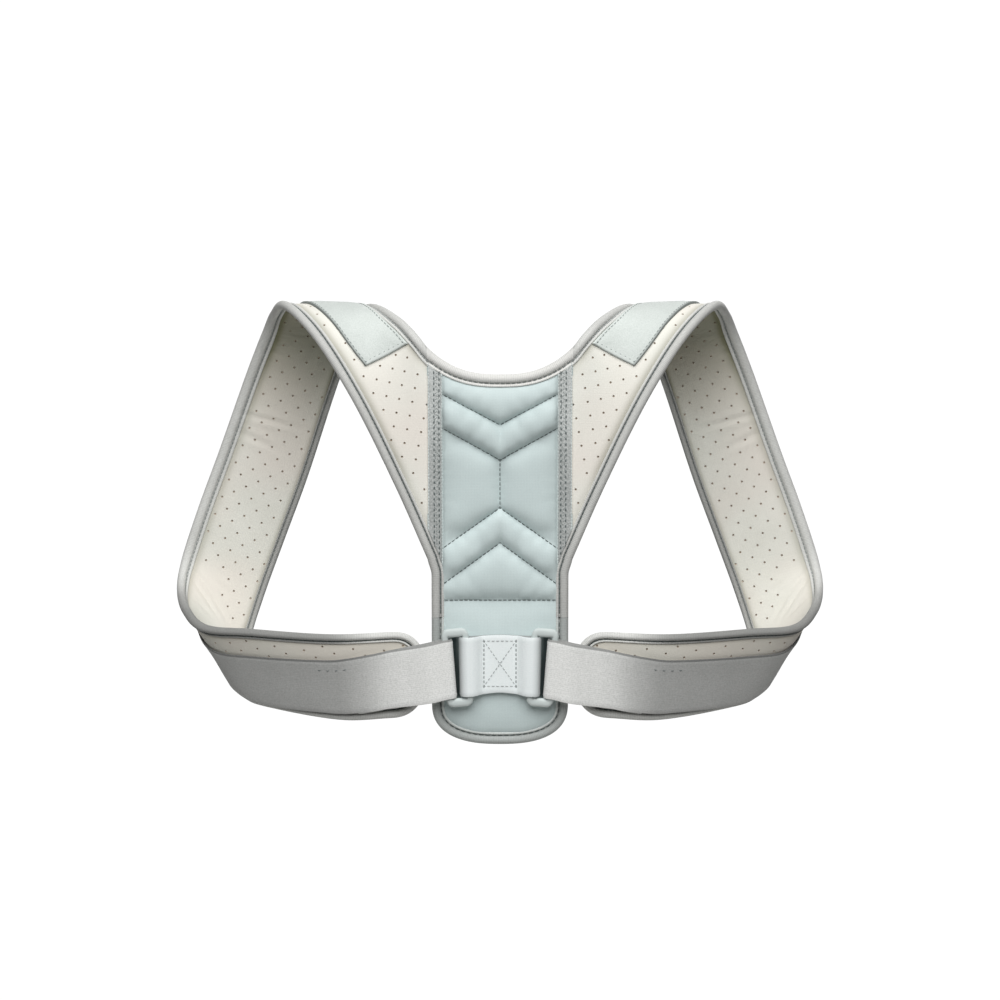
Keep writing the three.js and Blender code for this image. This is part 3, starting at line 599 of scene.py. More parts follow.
from_arm = (strap_v - first[:, None]) * strap_width(strap_s) * edge_slant(strap_s, 0) + EDGE_INSET
from_body = (final[:, None] - strap_v) * strap_width(strap_s) * edge_slant(strap_s, 1) + EDGE_INSET
turns = np.linspace(0, 1, 46)[1:-1] * math.pi
arch = np.sin(turns) ** (2 / TONGUE_POWER)
spread = np.sign(np.cos(turns)) * np.abs(np.cos(turns)) ** (2 / TONGUE_POWER)
arch_tape_width = blend(arm_tape_width(TONGUE), 1.0, turns / math.pi)
arch_rim = flat_place(TONGUE + arch, 0.5 - 0.5 * spread)
from_arch = [np.linalg.norm(row[:, None] - arch_rim, axis=-1) / arch_tape_width for row in strap_flat]
edge_distance = np.minimum(from_arm / arm_tape_width(strap_s), from_body / inner_tape_width(strap_s))
edge_distance = np.minimum(edge_distance, np.min(from_arch, axis=2))

foam_half = np.interp(edge_distance, *SEWN_HALF)
strap_faces = [strap_point(strap_s, strap_v, foam_half * side) for side in (1, -1)]
for face in strap_faces:
    face[0, :, 0] -= PAD_LAP
strap = slab("foam_strap_right", *strap_faces, strap_flat, FOAM, shift=INNER_UV_SHIFT)
print("plain strap", len(strap.data.polygons), "faces")

# %% Hole margin and shade of the strap
BUNCH_MARGIN = 30.0  # taken off the edge distance, so that no hole is punched in bunched cloth
BUNCH_SECTION, BUNCH_SHARE, BUNCH_GROWTH, BUNCH_SOFT = 9.9, 0.4, 0.28, 0.03
BUNCH_RANGE = (9.85, 10.0), (11.6, 12.0)
# Painted shade on the foam: a soft band beside the edge tapes, a little over the whole outer face,  more on
# the lower strap, and on the inner face under the shoulder.
TAPE_SHADE, PAD_END_LESS, LOWER_LESS = 0.5, 0.3, 0.35
SHADE_AT, SHADE_SPREAD = 7.8, 3.0  # in from the edge
OUTER_SHADE, LOWER_SHADE, INNER_TAPE_SHARE = 0.04, 0.22, 0.7
INNER_SHADE = (  # section, and how dark the inner face is there
    [3.2, 4.2, 5.2, 6.3, 6.9, 7.5, 8.0, 9.0, 10.5],
    [0, 0.7, 0.8, 0.72, 0.52, 0.2, 0.1, 0.1, 0.14])

bunch_reach = BUNCH_SHARE + BUNCH_GROWTH * (strap_s - BUNCH_SECTION)
bunched = within(strap_s, *BUNCH_RANGE) * ease(bunch_reach - strap_v, -BUNCH_SOFT, BUNCH_SOFT)
set_values(strap, "edge", np.tile(((edge_distance - BUNCH_MARGIN * bunched) * MM).ravel(), 2))
beside_tape = TAPE_SHADE - PAD_END_LESS * ease(-strap_s, -1.1, -0.5) - LOWER_LESS * ease(strap_s, 11, 12.5)
beside_tape = beside_tape * bell(edge_distance, SHADE_AT, SHADE_SPREAD)
# Painted shade for the outer and the inner face, stored on each face corner.
painted_shade = np.stack([OUTER_SHADE + LOWER_SHADE * ease(strap_s, 10.5, 12) + beside_tape,
                 INNER_TAPE_SHARE * beside_tape + np.interp(strap_s, *INNER_SHADE)])
corner = np.zeros(len(strap.data.loops), np.int32)
strap.data.loops.foreach_get("vertex_index", corner)
set_values(strap, "shade", np.clip(painted_shade, 0, 1).ravel()[corner], "CORNER")
print("strap shade", round(float(painted_shade.min()), 2), "to", round(float(painted_shade.max()), 2))

# %% [markdown]
# ## Punched holes
# Hundreds of round holes in a square pattern are a job for Geometry Nodes. A lattice of points lies
# on the flat pattern, each point is looked up on the bent strap through its UV map, and a small
# round punch stands there along the strap's normal, one from each face, so that a thin wall of foam
# stays between them and no light shows through. Points near an edge are dropped, because the tape
# hides them. One Boolean then cuts all punches out of the foam at once.

# %% Geometry Nodes helpers
def new_tree(name, sockets):
    """A Geometry Nodes tree with a mesh in, named sizes, and a mesh out."""
    tree = bpy.data.node_groups.new(name, "GeometryNodeTree")
    tree.interface.new_socket("Geometry", in_out="INPUT", socket_type="NodeSocketGeometry")
    for label, kind in sockets:
        tree.interface.new_socket(label, in_out="INPUT", socket_type="NodeSocket" + kind)
    tree.interface.new_socket("Geometry", in_out="OUTPUT", socket_type="NodeSocketGeometry")
    return tree, tree.nodes.new("NodeGroupInput").outputs, tree.nodes.new("NodeGroupOutput").inputs


def grown(source, tree, name, **sizes):
    """Runs a tree on a mesh object, and keeps the result as a plain mesh under a new name."""
    modifier = source.modifiers.new("grow", "NODES")
    modifier.node_group = tree
    for item in tree.interface.items_tree:
        if item.in_out == "INPUT" and item.name in sizes:
            modifier[item.identifier] = sizes[item.name]
    graph = bpy.context.evaluated_depsgraph_get()
    mesh = bpy.data.meshes.new_from_object(source.evaluated_get(graph))
    source.modifiers.remove(modifier)
    bpy.data.objects.remove(source)
    mesh.name = name
    return add_object(name, mesh)


def attribute(tree, name, kind="FLOAT_VECTOR"):
    """A named attribute of the mesh at hand."""
    return wire(tree, "GeometryNodeInputNamedAttribute", {"Name": name}, data_type=kind).outputs[0]


def hand_out(tree, given, result, geometry):
    """Makes instances real, gives them the material, and passes them on as the tree's result."""
    whole = wire(tree, "GeometryNodeRealizeInstances", {"Geometry": geometry})
    coloured = wire(tree, "GeometryNodeSetMaterial", {
        "Geometry": whole.outputs[0], "Material": given["Material"]})
    tree.links.new(coloured.outputs[0], result[0])


print("plain strap carries", [item.name for item in strap.data.attributes if not item.name.startswith(".")])

# %% The punch tree
PUNCH_SIDES, RIM_ANGLE = 10, math.radians(50)


def lattice_on_strap(tree, given):
    """A lattice of points on the flat pattern, moved onto the bent strap, with its normal as axis."""
    grid = wire(tree, "GeometryNodeMeshGrid", {
        "Size X": given["Length"], "Size Y": given["Width"],
        "Vertices X": given["Columns"], "Vertices Y": given["Rows"]})
    turn = wire(tree, "ShaderNodeCombineXYZ", {"Z": given["Turn"]})
    lattice = wire(tree, "GeometryNodeTransform", {
        "Geometry": grid.outputs["Mesh"], "Translation": given["Middle"], "Rotation": turn.outputs[0]})
    spot = wire(tree, "GeometryNodeInputPosition").outputs[0]
    facing = wire(tree, "GeometryNodeInputNormal").outputs[0]
    place, normal, from_edge = (
        wire(tree, "GeometryNodeSampleUVSurface", {
            "Mesh": given["Geometry"], "Value": value, "UV Map": attribute(tree, "cloth"),
            "Sample UV": spot}, data_type=kind).outputs
        for value, kind in ((spot, "FLOAT_VECTOR"), (facing, "FLOAT_VECTOR"),
                            (attribute(tree, "edge", "FLOAT"), "FLOAT")))
    hidden = wire(tree, "FunctionNodeCompare", {0: from_edge[0], 1: given["Margin"]}, operation="LESS_THAN")
    missed = wire(tree, "FunctionNodeBooleanMath", {0: place[1]}, operation="NOT")
    dropped = wire(tree, "FunctionNodeBooleanMath", {0: hidden.outputs[0], 1: missed.outputs[0]},
                   operation="OR")
    kept = wire(tree, "GeometryNodeDeleteGeometry", {
        "Geometry": lattice.outputs[0], "Selection": dropped.outputs[0]}, domain="POINT")
    axis = wire(tree, "GeometryNodeStoreNamedAttribute", {
        "Geometry": kept.outputs[0], "Name": "axis", "Value": normal[0]},
        data_type="FLOAT_VECTOR", domain="POINT")
    placed = wire(tree, "GeometryNodeSetPosition", {"Geometry": axis.outputs[0], "Position": place[0]})
    return placed.outputs[0]


def punch_pair(tree, given):
    """Two blind punches on one axis, one from each face of the foam."""
    pair = wire(tree, "GeometryNodeJoinGeometry")
    for side in (1.0, -1.0):
        punch = wire(tree, "GeometryNodeMeshCylinder", {
            "Vertices": PUNCH_SIDES, "Side Segments": 1, "Radius": given["Radius"], "Depth": given["Depth"]})
        lift = math_node(tree, "MULTIPLY", given["Offset"], side)
        height = math_node(tree, "SUBTRACT", lift, given["Thickness"])
        where = wire(tree, "ShaderNodeCombineXYZ", {"Z": height})
        moved = wire(tree, "GeometryNodeTransform", {
            "Geometry": punch.outputs["Mesh"], "Translation": where.outputs[0]})
        tree.links.new(moved.outputs[0], pair.inputs[0])
    return pair.outputs[0]


def punch_tree():
    """Cuts a pair of punches out of a foam slab at every point of the lattice."""
    tree, given, result = new_tree("punched holes", [
        ("Length", "Float"), ("Width", "Float"), ("Columns", "Int"), ("Rows", "Int"), ("Middle", "Vector"),
        ("Turn", "Float"), ("Radius", "Float"), ("Depth", "Float"), ("Offset", "Float"),
        ("Thickness", "Float"), ("Margin", "Float"), ("Material", "Material")])
    points = lattice_on_strap(tree, given)
    upright = wire(tree, "FunctionNodeAlignRotationToVector", {"Vector": attribute(tree, "axis")}, axis="Z")
    punches = wire(tree, "GeometryNodeInstanceOnPoints", {
        "Points": points, "Instance": punch_pair(tree, given), "Rotation": upright.outputs[0]})
    bare = wire(tree, "GeometryNodeRealizeInstances", {"Geometry": punches.outputs[0]})
    solid = wire(tree, "GeometryNodeStoreNamedAttribute", {
        "Geometry": bare.outputs[0], "Name": "hole", "Value": 1.0}, data_type="FLOAT", domain="FACE")
    cut = wire(tree, "GeometryNodeMeshBoolean", {
        "Mesh 1": given["Geometry"], "Mesh 2": solid.outputs[0]}, operation="DIFFERENCE", solver="MANIFOLD")
    angle = wire(tree, "GeometryNodeInputMeshEdgeAngle").outputs[0]
    rim = wire(tree, "FunctionNodeCompare", {0: angle, 1: RIM_ANGLE}, operation="GREATER_THAN")
    smooth = wire(tree, "GeometryNodeSetShadeSmooth", {"Geometry": cut.outputs["Mesh"], "Shade Smooth": True})
    crisp = wire(tree, "GeometryNodeSetShadeSmooth", {
        "Geometry": smooth.outputs[0], "Selection": rim.outputs[0], "Shade Smooth": False}, domain="EDGE")
    hand_out(tree, given, result, crisp.outputs[0])
    return tree


print("punches have", PUNCH_SIDES, "sides")

# %% Punch the straps
HOLE_PITCH, HOLE_RADIUS, HOLE_TURN, HOLE_MARGIN = 8.85, 0.74, math.radians(11), 9.4
PUNCH_LENGTH, WALL_HALF = 4.0, 0.25
middle = (FLAT_BOX.min(0) + FLAT_BOX.max(0)) / 2
reach = np.linalg.norm(FLAT_BOX.max(0) - FLAT_BOX.min(0))
lines = int(reach / HOLE_PITCH) + 1
lattice_size = (lines - 1) * HOLE_PITCH * MM
foam_strap = grown(
    strap, punch_tree(), "foam_strap_right", Length=lattice_size, Width=lattice_size, Columns=lines,
    Rows=lines, Middle=(middle[0] * MM, middle[1] * MM, 0), Turn=HOLE_TURN, Radius=HOLE_RADIUS * MM,
    Depth=PUNCH_LENGTH * MM, Thickness=FOAM_HALF * MM, Offset=(PUNCH_LENGTH / 2 + WALL_HALF) * MM,
    Margin=HOLE_MARGIN * MM, Material=FOAM)
add_twin(foam_strap)
print("punched strap", len(foam_strap.data.polygons), "faces", foam_strap.data.uv_layers.keys())

# %% [markdown]
# ## Folded edge tapes
# Every raw edge is wrapped in a ribbed tape that is folded over it and sewn through. A tape is a
# profile swept along the edge: a soft roll at the fold, a groove where the seam pulls it down, and
# a small lip beyond it. At each step along the edge three arrows carry the profile: where the edge
# is, which way is inwards, and which way faces out.

# %% Tape profile and sweep
ROLL = [  # inwards from the edge, and height above the cloth's middle
    (8.0, 1.15), (7.95, 1.5), (7.7, 1.8), (7.2, 1.92), (6.7, 1.85), (6.35, 1.5), (6.15, 0.95), (5.45, 0.93),
    (5.15, 1.5), (4.75, 2.15), (4.1, 2.64), (3.1, 2.9), (2.2, 2.85), (1.3, 2.45), (0.6, 1.75), (0.15, 0.9),
    (0, 0)]
LINING = [(0.95, 0), (1.1, 1.0), (1.9, 1.8), (3.2, 1.95), (4.4, 1.3), (5.45, 0.68), (6.3, 0.7), (7.9, 1.05)]
SEAM_IN, SEAM_HEIGHT, TAPE_REACH = 5.8, 1.15, ROLL[0][0]


def both_faces(half):
    """A half profile from its border to the fold, carried on round the other face."""
    return half + [(inward, -height) for inward, height in half[-2::-1]]


PROFILE = np.array(both_faces(ROLL) + [(x, -y) for x, y in LINING[::-1]] + LINING[1:])
PROFILE_UV = travel_round(PROFILE)


def tape(name, origin, inward, face, material):
    """Sweeps the tape profile along an edge, with flat ends."""
    rings = (origin[:, None] + inward[:, None] * PROFILE[:, :1] + face[:, None] * PROFILE[:, 1:])
    rows, columns = rings.shape[:2]
    uv = pairs(travel(origin), PROFILE_UV)
    faces = grid_faces(rows, columns, wrap=True)
    fold = len(PROFILE) - 1
    cap = np.array([(k, k + 1, fold - k - 1, fold - k) for k in range(fold // 2)])
    ends = np.concatenate([cap[:, ::-1], cap + (rows - 1) * columns])
    return piece_from(name, rings, np.concatenate([faces, ends]),
                      np.concatenate([grid_uv(uv), np.zeros((len(ends), 4, 2))]), material, sharp=60)


print("tape profile", len(PROFILE), "points")

# %% Edge frames of the strap's tape
BACK, JOIN_IN = np.array([0.0, -1.0, 0.0]), np.array([0.0, 0.0, -1.48])
PAD_HALF, SEAM_OUT, FLARE_LOW, FLARE_HIGH = 43.5, 46.0, -168.0, -157.0
HEM_JOIN, FRAME_IN, PAD_STEP, TAPE_STEP, JOIN_GAP = -195.0, 7.0, 1.8, 1.9, 0.05


def pad_half(height):
    return blend(PAD_HALF, SEAM_OUT, ease(height, FLARE_LOW, FLARE_HIGH))


def square_frame(edge_points, face):
    """Inward arrows square to an edge that runs with the cloth on its left, seen from outside."""
    ahead = unit(np.gradient(edge_points, axis=0))
    return unit(np.cross(face, ahead))


def ruled_frame(section, edge):
    """Edge, inward and outward arrows along one edge of the strap."""
    origin = strap_point(section, float(edge), 0.0)
    inner = strap_point(section, edge_share(section, edge, FRAME_IN), 0.0)
    return origin, (inner - origin) / FRAME_IN, strap_normal(section, edge_share(section, edge, FRAME_IN / 2))


side_height = np.arange(HEM_JOIN + JOIN_GAP, FLARE_HIGH - 1.0, PAD_STEP)
side_edge = np.stack([pad_half(side_height), 0 * side_height, side_height], -1)
arm_s = spaced(0, TONGUE, 0.0, TAPE_STEP)
arm = ruled_frame(arm_s, 0)
start_edge = np.concatenate([side_edge, arm[0]])
start_face = np.concatenate([np.tile(BACK, (len(side_edge), 1)), arm[2]])
start_in = square_frame(start_edge, start_face)
settled = np.concatenate([np.zeros(len(side_edge)), ease(arm_s, 0.5, 1.6)])[:, None]
ruled_in = np.concatenate([start_in[: len(side_edge)], arm[1]])
start_in = blend(start_in, ruled_in, settled)
start_in[len(side_edge):] *= arm_tape_width(arm_s)[:, None]
arch_edge = strap_middle(TONGUE + arch, 0.5 - 0.5 * spread)
arch_face = strap_normal(TONGUE + arch, 0.5 - 0.5 * spread)
body_s = spaced(0, TONGUE, 1.0, TAPE_STEP)[::-1]
body = ruled_frame(body_s, 1)
at_neck = ease(-body_s, -0.8, 0)[:, None]
body = (body[0], blend(body[1], JOIN_IN, at_neck) * inner_tape_width(body_s)[:, None],
        unit(blend(body[2], BACK, at_neck)))
arch_in = square_frame(np.concatenate([arm[0][-1:], arch_edge, body[0][:1]]),
                       np.concatenate([arm[2][-1:], arch_face, body[2][:1]]))[1:-1]
arch_in *= arch_tape_width[:, None]
side_origin = np.concatenate([start_edge, arch_edge, body[0]])
side_inward = np.concatenate([start_in, arch_in, body[1]])
side_face = unit(np.concatenate([start_face, arch_face, body[2]]))
arm_start, body_start = len(side_edge), len(side_edge) + len(arm_s) + len(arch_edge)
print("side tape", round(travel(side_origin)[-1]), "mm long")

# %% Finishes of the edge tapes
# Painted shade along the side tape: darkest along the lower strap and down the body edge on the  chest, a
# little beside the pad.
ARM_TONE = [  # section on the arm edge, and how light the tape is there
    (0.0, 0.74), (0.35, 0.84), (0.8, 0.8), (4.0, 0.84), (5.5, 0.82), (6.2, 0.86), (9.0, 1.0), (10.6, 1.0),
    (11.0, 0.92), (11.4, 0.62), (12.2, 0.42), (13.2, 0.42), (14.6, 0.42), (15.0, 0.46), (15.35, 0.74),
    (15.7, 1.0)]
BODY_TONE = [  # the same on the body edge, which the tape follows back to the pad
    (15.8, 0.85), (13.0, 0.8), (12.0, 0.6), (10.0, 0.58), (5.0, 0.58), (3.5, 0.82), (0.0, 0.94)]
side_far = travel(side_origin)
arm_far = side_far[arm_start:arm_start + len(arm_s)]
side_tone = [(float(np.interp(section, arm_s, arm_far)), level) for section, level in ARM_TONE]
side_tone += [(float(np.interp(-section, -body_s, side_far[body_start:])), level)
              for section, level in BODY_TONE]
FOLD = PROFILE_UV[len(ROLL) - 1]


def face_tone(lip, groove, roll, fold, inner_lip=0.88):
    """How light painted shade leaves a tape's lip, groove and roll, from one border round to the other."""
    outer = list(zip(PROFILE_UV[[0, 4, 6, 7, 9, 16]], (lip, lip, groove, groove, roll, fold)))
    inner = [(2 * FOLD - far, min(level, inner_lip)) for far, level in outer[-2::-1]]
    return outer + inner + [(PROFILE_UV[-1], inner_lip)]


def tape_finish(name, light, dark, across_tone, tone=None):
    return cloth_finish(name, rgb(*light), rgb(*dark), across_tone=across_tone, tone=tone,
                        pitch=(0.0011, 0.0), weave=0.4, grain=0.9, blotch=0.3, roughness=0.75, sheen=0.2,
                        bump=0.00025, grain_size=0.0012)


# One ribbed tape in three finishes: the neck's is painted lighter and the hem's painted darker, as  light and
# shade. The across levels add painted shade in the groove and on the roll, deeper on the hem.
PLAIN_FACE, HEM_FACE = face_tone(1.0, 0.72, 0.87, 0.885), face_tone(1.0, 0.55, 0.64, 0.68)
SIDE_TAPE = tape_finish("ribbed side tape", (245, 245, 241), (214, 215, 211), PLAIN_FACE, side_tone)
NECK_TAPE = tape_finish("ribbed neck tape", (250, 249, 245), (222, 222, 218), PLAIN_FACE)
HEM_TAPE = tape_finish("ribbed hem tape", (228, 233, 230), (200, 205, 202), HEM_FACE)
edge_tape = tape("edge_tape_right", side_origin, side_inward, side_face, SIDE_TAPE)
add_twin(edge_tape)
print("edge tape", len(edge_tape.data.polygons), "faces")

# %% [markdown]
# ## Neck and hem tapes
# The pad's neck scoop and its rounded lower end have the same tape. Both edges lie in the pad's
# plane, so the outward arrow is the same all along. Where the neck tape meets the strap's tape, at
# the pad's corner, its ends are cut upright so that the two close on each other.

# %% Neck and hem
NECK_MIDDLE, NECK_RISE, NECK_POWER = -40.2, 17.4, 2.6
NECK_GAP, UPRIGHT_REACH = 0.02, 7.0
PAD_BOTTOM, PAD_ROUND, PAD_POWER = -277.8, 27.0, 2.5


def neck_height(out):
    return NECK_MIDDLE + NECK_RISE * (np.abs(out) / SEAM_OUT) ** NECK_POWER


neck_out = np.linspace(-SEAM_OUT + NECK_GAP, SEAM_OUT - NECK_GAP, 60)
neck_edge = np.stack([neck_out, 0 * neck_out, neck_height(neck_out)], -1)
neck_slant = math.hypot(1, NECK_RISE * NECK_POWER / SEAM_OUT)
neck_in = square_frame(neck_edge[::-1], BACK)[::-1]
upright = ease(np.abs(neck_out), SEAM_OUT - UPRIGHT_REACH, SEAM_OUT)[:, None]
neck_in = blend(neck_in, JOIN_IN, upright)
neck_face = np.tile(BACK, (len(neck_out), 1))
tape("neck_tape", neck_edge, neck_in, neck_face, NECK_TAPE)


def round_point(turn, inset):
    """Point of the pad's rounded lower end, from the left side (-90 degrees) to the right (90)."""
    out = np.sign(turn) * (PAD_HALF - inset) * np.abs(np.sin(turn)) ** (2 / PAD_POWER)
    down = (PAD_ROUND - inset) * np.cos(turn) ** (2 / PAD_POWER)
    return np.stack([out, 0 * out, PAD_BOTTOM + PAD_ROUND - down], -1)


def hem_line(inset, step=1.6):
    """The pad's lower edge from the left join round the end to the right join, inset inwards."""
    side = np.arange(HEM_JOIN - JOIN_GAP, PAD_BOTTOM + PAD_ROUND + 2 * JOIN_GAP, -step)
    left = np.stack([0 * side - PAD_HALF + inset, 0 * side, side], -1)
    curve = round_point(np.linspace(-math.pi / 2, math.pi / 2, 400), inset)
    line = np.concatenate([left, curve, left[::-1] * [-1, 1, 1]])
    far = travel(line)
    return np.stack([np.interp(np.linspace(0, far[-1], int(far[-1] / step)), far, line[:, k])
                     for k in range(3)], -1)


hem_edge = hem_line(0.0)
hem_face = np.tile(BACK, (len(hem_edge), 1))
hem_in = square_frame(hem_edge, hem_face)
tape("hem_tape", hem_edge, hem_in, hem_face, HEM_TAPE)
print("neck tape", round(travel(neck_edge)[-1]), "mm, hem tape", round(travel(hem_edge)[-1]), "mm")

# %% [markdown]
# ## The quilted pad
# The pad is filled, and its cover is sewn down along chevron channels, so each cell swells between
# its seams. Its grid follows the seams: every channel is a row of points, bent like the seam. The
# cover is then blown up by a cloth simulation with all seam points pinned, which gives the rounded
# cells and the small pulls at the seams that a formula would miss. Each cell is then kept to its own
# height, a little fuller at its foot, where filling sinks.

# %% Rows of the pad's cover
CHANNELS = [  # height in the middle and at the sides, most swell, rows, seam down the cell's middle
    (-72.0, -47.5, 4.9, 16, False), (-94.3, -68.8, 6.0, 16, False), (-124.8, -156.3, 5.0, 30, True),
    (-147.2, -178.0, 4.6, 16, False), (-184.0, -184.0, 4.6, 18, False),
]
FIELD_SWELL, SEAM_INSET, CLOTH_INSET, FACE_REST = 3.0, 6.5, 1.5, 1.35
NECK_ROWS, FIELD_ROWS, ROUND_ROWS, FOOT_ROWS = 4, 41, 25, 3
NECK_SEWN, ROUND_END, FOOT_SPREAD, CLOTH_GAP = 6.6, math.radians(13), 0.7, 0.1
PANEL_COLUMNS, FLANGE_COLUMNS = 48, 4
CLOTH_FLARE, ARM_ROWS_BESIDE = (-166, -148), 60
pad_side = slice(arm_start + ARM_ROWS_BESIDE)  # rows of the side tape that run beside the pad


def cloth_half(height):
    return blend(PAD_HALF - CLOTH_INSET, SEAM_OUT - CLOTH_GAP, ease(height, *CLOTH_FLARE))


pad_rows = []  # panel half width, cloth half width, middle height, side height, bend, split, seam


def straight_row(middle_height, side_height, bend, split, seam):
    pad_rows.append((PAD_HALF - SEAM_INSET, cloth_half(side_height), middle_height, side_height,
                     bend, split, seam))


neck_top = NECK_MIDDLE - CLOTH_INSET, float(neck_height(SEAM_OUT)) - CLOTH_INSET * neck_slant
for sewn in np.linspace(0, NECK_SEWN, NECK_ROWS + 1):
    straight_row(neck_top[0] - sewn, neck_top[1] - neck_slant * sewn, NECK_POWER, False, True)
above = pad_rows[-1][2:5]
for middle_height, side, _, count, split in CHANNELS:
    for share in np.linspace(0, 1, count + 1)[1:]:
        straight_row(blend(above[0], middle_height, share), blend(above[1], side, share),
                     blend(above[2], 1.0, share), split, share == 1)
    above = middle_height, side, 1.0
for height in np.linspace(above[0], PAD_BOTTOM + PAD_ROUND, FIELD_ROWS + 1)[1:]:
    straight_row(height, height, 1.0, False, False)
for turn in np.linspace(math.pi / 2, ROUND_END, ROUND_ROWS + 1)[1:]:
    seam, outer = round_point(turn, SEAM_INSET), round_point(turn, CLOTH_INSET)
    pad_rows.append((seam[0], outer[0], seam[2], outer[2], 0.0, False, False))
panel_rows = len(pad_rows)
foot_half, foot_outer, foot_middle, foot_side = pad_rows[-1][:4]
lowest = round_point(np.array(0.0), CLOTH_INSET)[2]
for share in np.linspace(0, 1, FOOT_ROWS + 1)[1:]:
    pad_rows.append((blend(foot_half, foot_outer, FOOT_SPREAD * share), foot_outer,
                     blend(foot_middle, lowest, share), blend(foot_side, lowest, share), 0.0, False, True))
print("cover rows", len(pad_rows))

# %% Points of the pad's cover
panel_share = np.linspace(-1, 1, PANEL_COLUMNS + 1)
flange_share = np.linspace(0, 1, FLANGE_COLUMNS + 1)[1:]
cover, pinned = [], []
for number, (half, outer, middle_height, side, bend, split, seam) in enumerate(pad_rows):
    flange = blend(half, outer, flange_share)
    x = np.concatenate([-flange[::-1], panel_share * half, flange])
    if bend:
        z = blend(middle_height, side, (np.abs(x) / outer) ** bend)
    else:
        z = blend(middle_height, side, np.clip((np.abs(x) - half) / max(outer - half, 1e-6), 0, 1))
    border = np.abs(x) > half - 0.01
    middle_seam = (np.abs(x) < 0.01) & split
    cover.append(np.stack([x, 0 * x, z], -1))
    pinned.append(border | middle_seam | bool(seam) | (number >= panel_rows - 1))
cover, pinned = np.array(cover), np.array(pinned)
pad_edges = np.concatenate([side_origin[pad_side], hem_edge, neck_edge])[:, [0, 2]]
half_cover = np.abs(cover[..., [0]]) * [1, 0] + cover[..., [2]] * [0, 1]
from_tape = np.array([np.linalg.norm(row[:, None] - pad_edges, axis=-1).min(1) for row in half_cover])
rest_half = np.minimum(np.interp(from_tape, *SEWN_HALF), FACE_REST)
print("cover grid", cover.shape[:2], "points,", int(pinned.sum()), "of them sewn")

# %% Blow up the cover
SIM_SCALE = 0.01
SIM_FRAMES, PRESSURE, SLACK = 20, 30.0, 0.08
cell_rows = np.append(NECK_ROWS + np.cumsum([0] + [row[3] for row in CHANNELS]), panel_rows - 1)


def simulated_push():
    """How far the filling moves each point of the cover. The sheet is ten times life size, where
    the solver's own masses and stiffnesses suit it."""
    mesh = bpy.data.meshes.new("cover_sheet")
    rest = cover.reshape(-1, 3)
    mesh.from_pydata((rest * SIM_SCALE).tolist(), [], grid_faces(*cover.shape[:2])[:, ::-1].tolist())
    sheet = add_object("cover_sheet", mesh)
    sewn = sheet.vertex_groups.new(name="sewn")
    sewn.add(np.flatnonzero(pinned.ravel()).tolist(), 1.0, "REPLACE")
    cloth = sheet.modifiers.new("Cloth", "CLOTH")
    settings = cloth.settings
    settings.quality = 6
    settings.mass = 0.15
    settings.tension_stiffness = settings.compression_stiffness = 12
    settings.shear_stiffness = 4
    settings.bending_stiffness = 4
    settings.vertex_group_mass = "sewn"
    settings.shrink_min = -SLACK
    settings.use_pressure = True
    settings.uniform_pressure_force = PRESSURE
    settings.effector_weights.gravity = 0
    cloth.collision_settings.use_collision = False
    scene = bpy.context.scene
    for number in range(1, SIM_FRAMES + 1):
        scene.frame_set(number)
    graph = bpy.context.evaluated_depsgraph_get()
    moved = np.zeros(len(rest) * 3, np.float32)
    sheet.evaluated_get(graph).to_mesh().vertices.foreach_get("co", moved)
    scene.frame_set(1)
    bpy.data.objects.remove(sheet)
    return moved.reshape(cover.shape) / SIM_SCALE - cover


pushed = simulated_push()
print("cover pushed out", round(float(-pushed[..., 1].min()), 2), "mm")

# %% Swell of each cell
SMOOTHING, FULLNESS, SAG, LINING_SWELL, DRAW_LIMIT = 10, 1.1, 0.3, 1.8, 0.6
LINING_FROM_TAPE, LINING_FROM_SIDE = (TAPE_REACH - 0.2, TAPE_REACH + 5), (0.0, 0.16)
out = np.maximum(-pushed[..., 1], 0)
for _ in range(SMOOTHING):
    near = (np.roll(out, 1, 0) + np.roll(out, -1, 0) + np.roll(out, 1, 1) + np.roll(out, -1, 1)) / 4
    out = np.where(pinned, 0, blend(out, near, 0.5))
swell = 0 * out
for first_row, last_row, most in zip(cell_rows, cell_rows[1:], [row[2] for row in CHANNELS] + [FIELD_SWELL]):
    rows = slice(first_row, last_row + 1)
    puffed = out[rows] * np.linspace(1 - SAG, 1 + SAG, last_row - first_row + 1)[:, None]
    print("cell", first_row, last_row, "pushed", round(float(puffed.max()), 2), "mm, kept to", most)
    full = most * np.tanh(FULLNESS * puffed / puffed.max()) / np.tanh(FULLNESS)
    swell[rows] = np.maximum(swell[rows], full)
drawn = np.clip(pushed, -DRAW_LIMIT, DRAW_LIMIT)
front = cover + np.stack([drawn[..., 0], -rest_half - swell, drawn[..., 2]], -1)
pad_out, pad_height = np.abs(cover[..., 0]), cover[..., 2]
inside = np.minimum(pad_out / (PAD_HALF - SEAM_INSET), 1)
lining = LINING_SWELL * ease(from_tape, *LINING_FROM_TAPE) * ease(1 - inside, *LINING_FROM_SIDE)
rear = cover + np.stack([0 * lining, rest_half + lining, 0 * lining], -1)
quilted_pad = slab("quilted_pad", front, rear, cover[..., [2, 0]] * [-1, 1], QUILT)
print("pad", len(quilted_pad.data.polygons), "faces, swell", np.round(swell.max(), 2), "mm")

# %% [markdown]
# ## Shade on the pad
# Little light reaches the pad in the slot between the ring tab and each webbing, below the rings and
# beside the knit tapes' cords. The lamps alone leave these places too pale, so the cover also has a
# shade of its own there, stored on its points and mixed in by the finish.

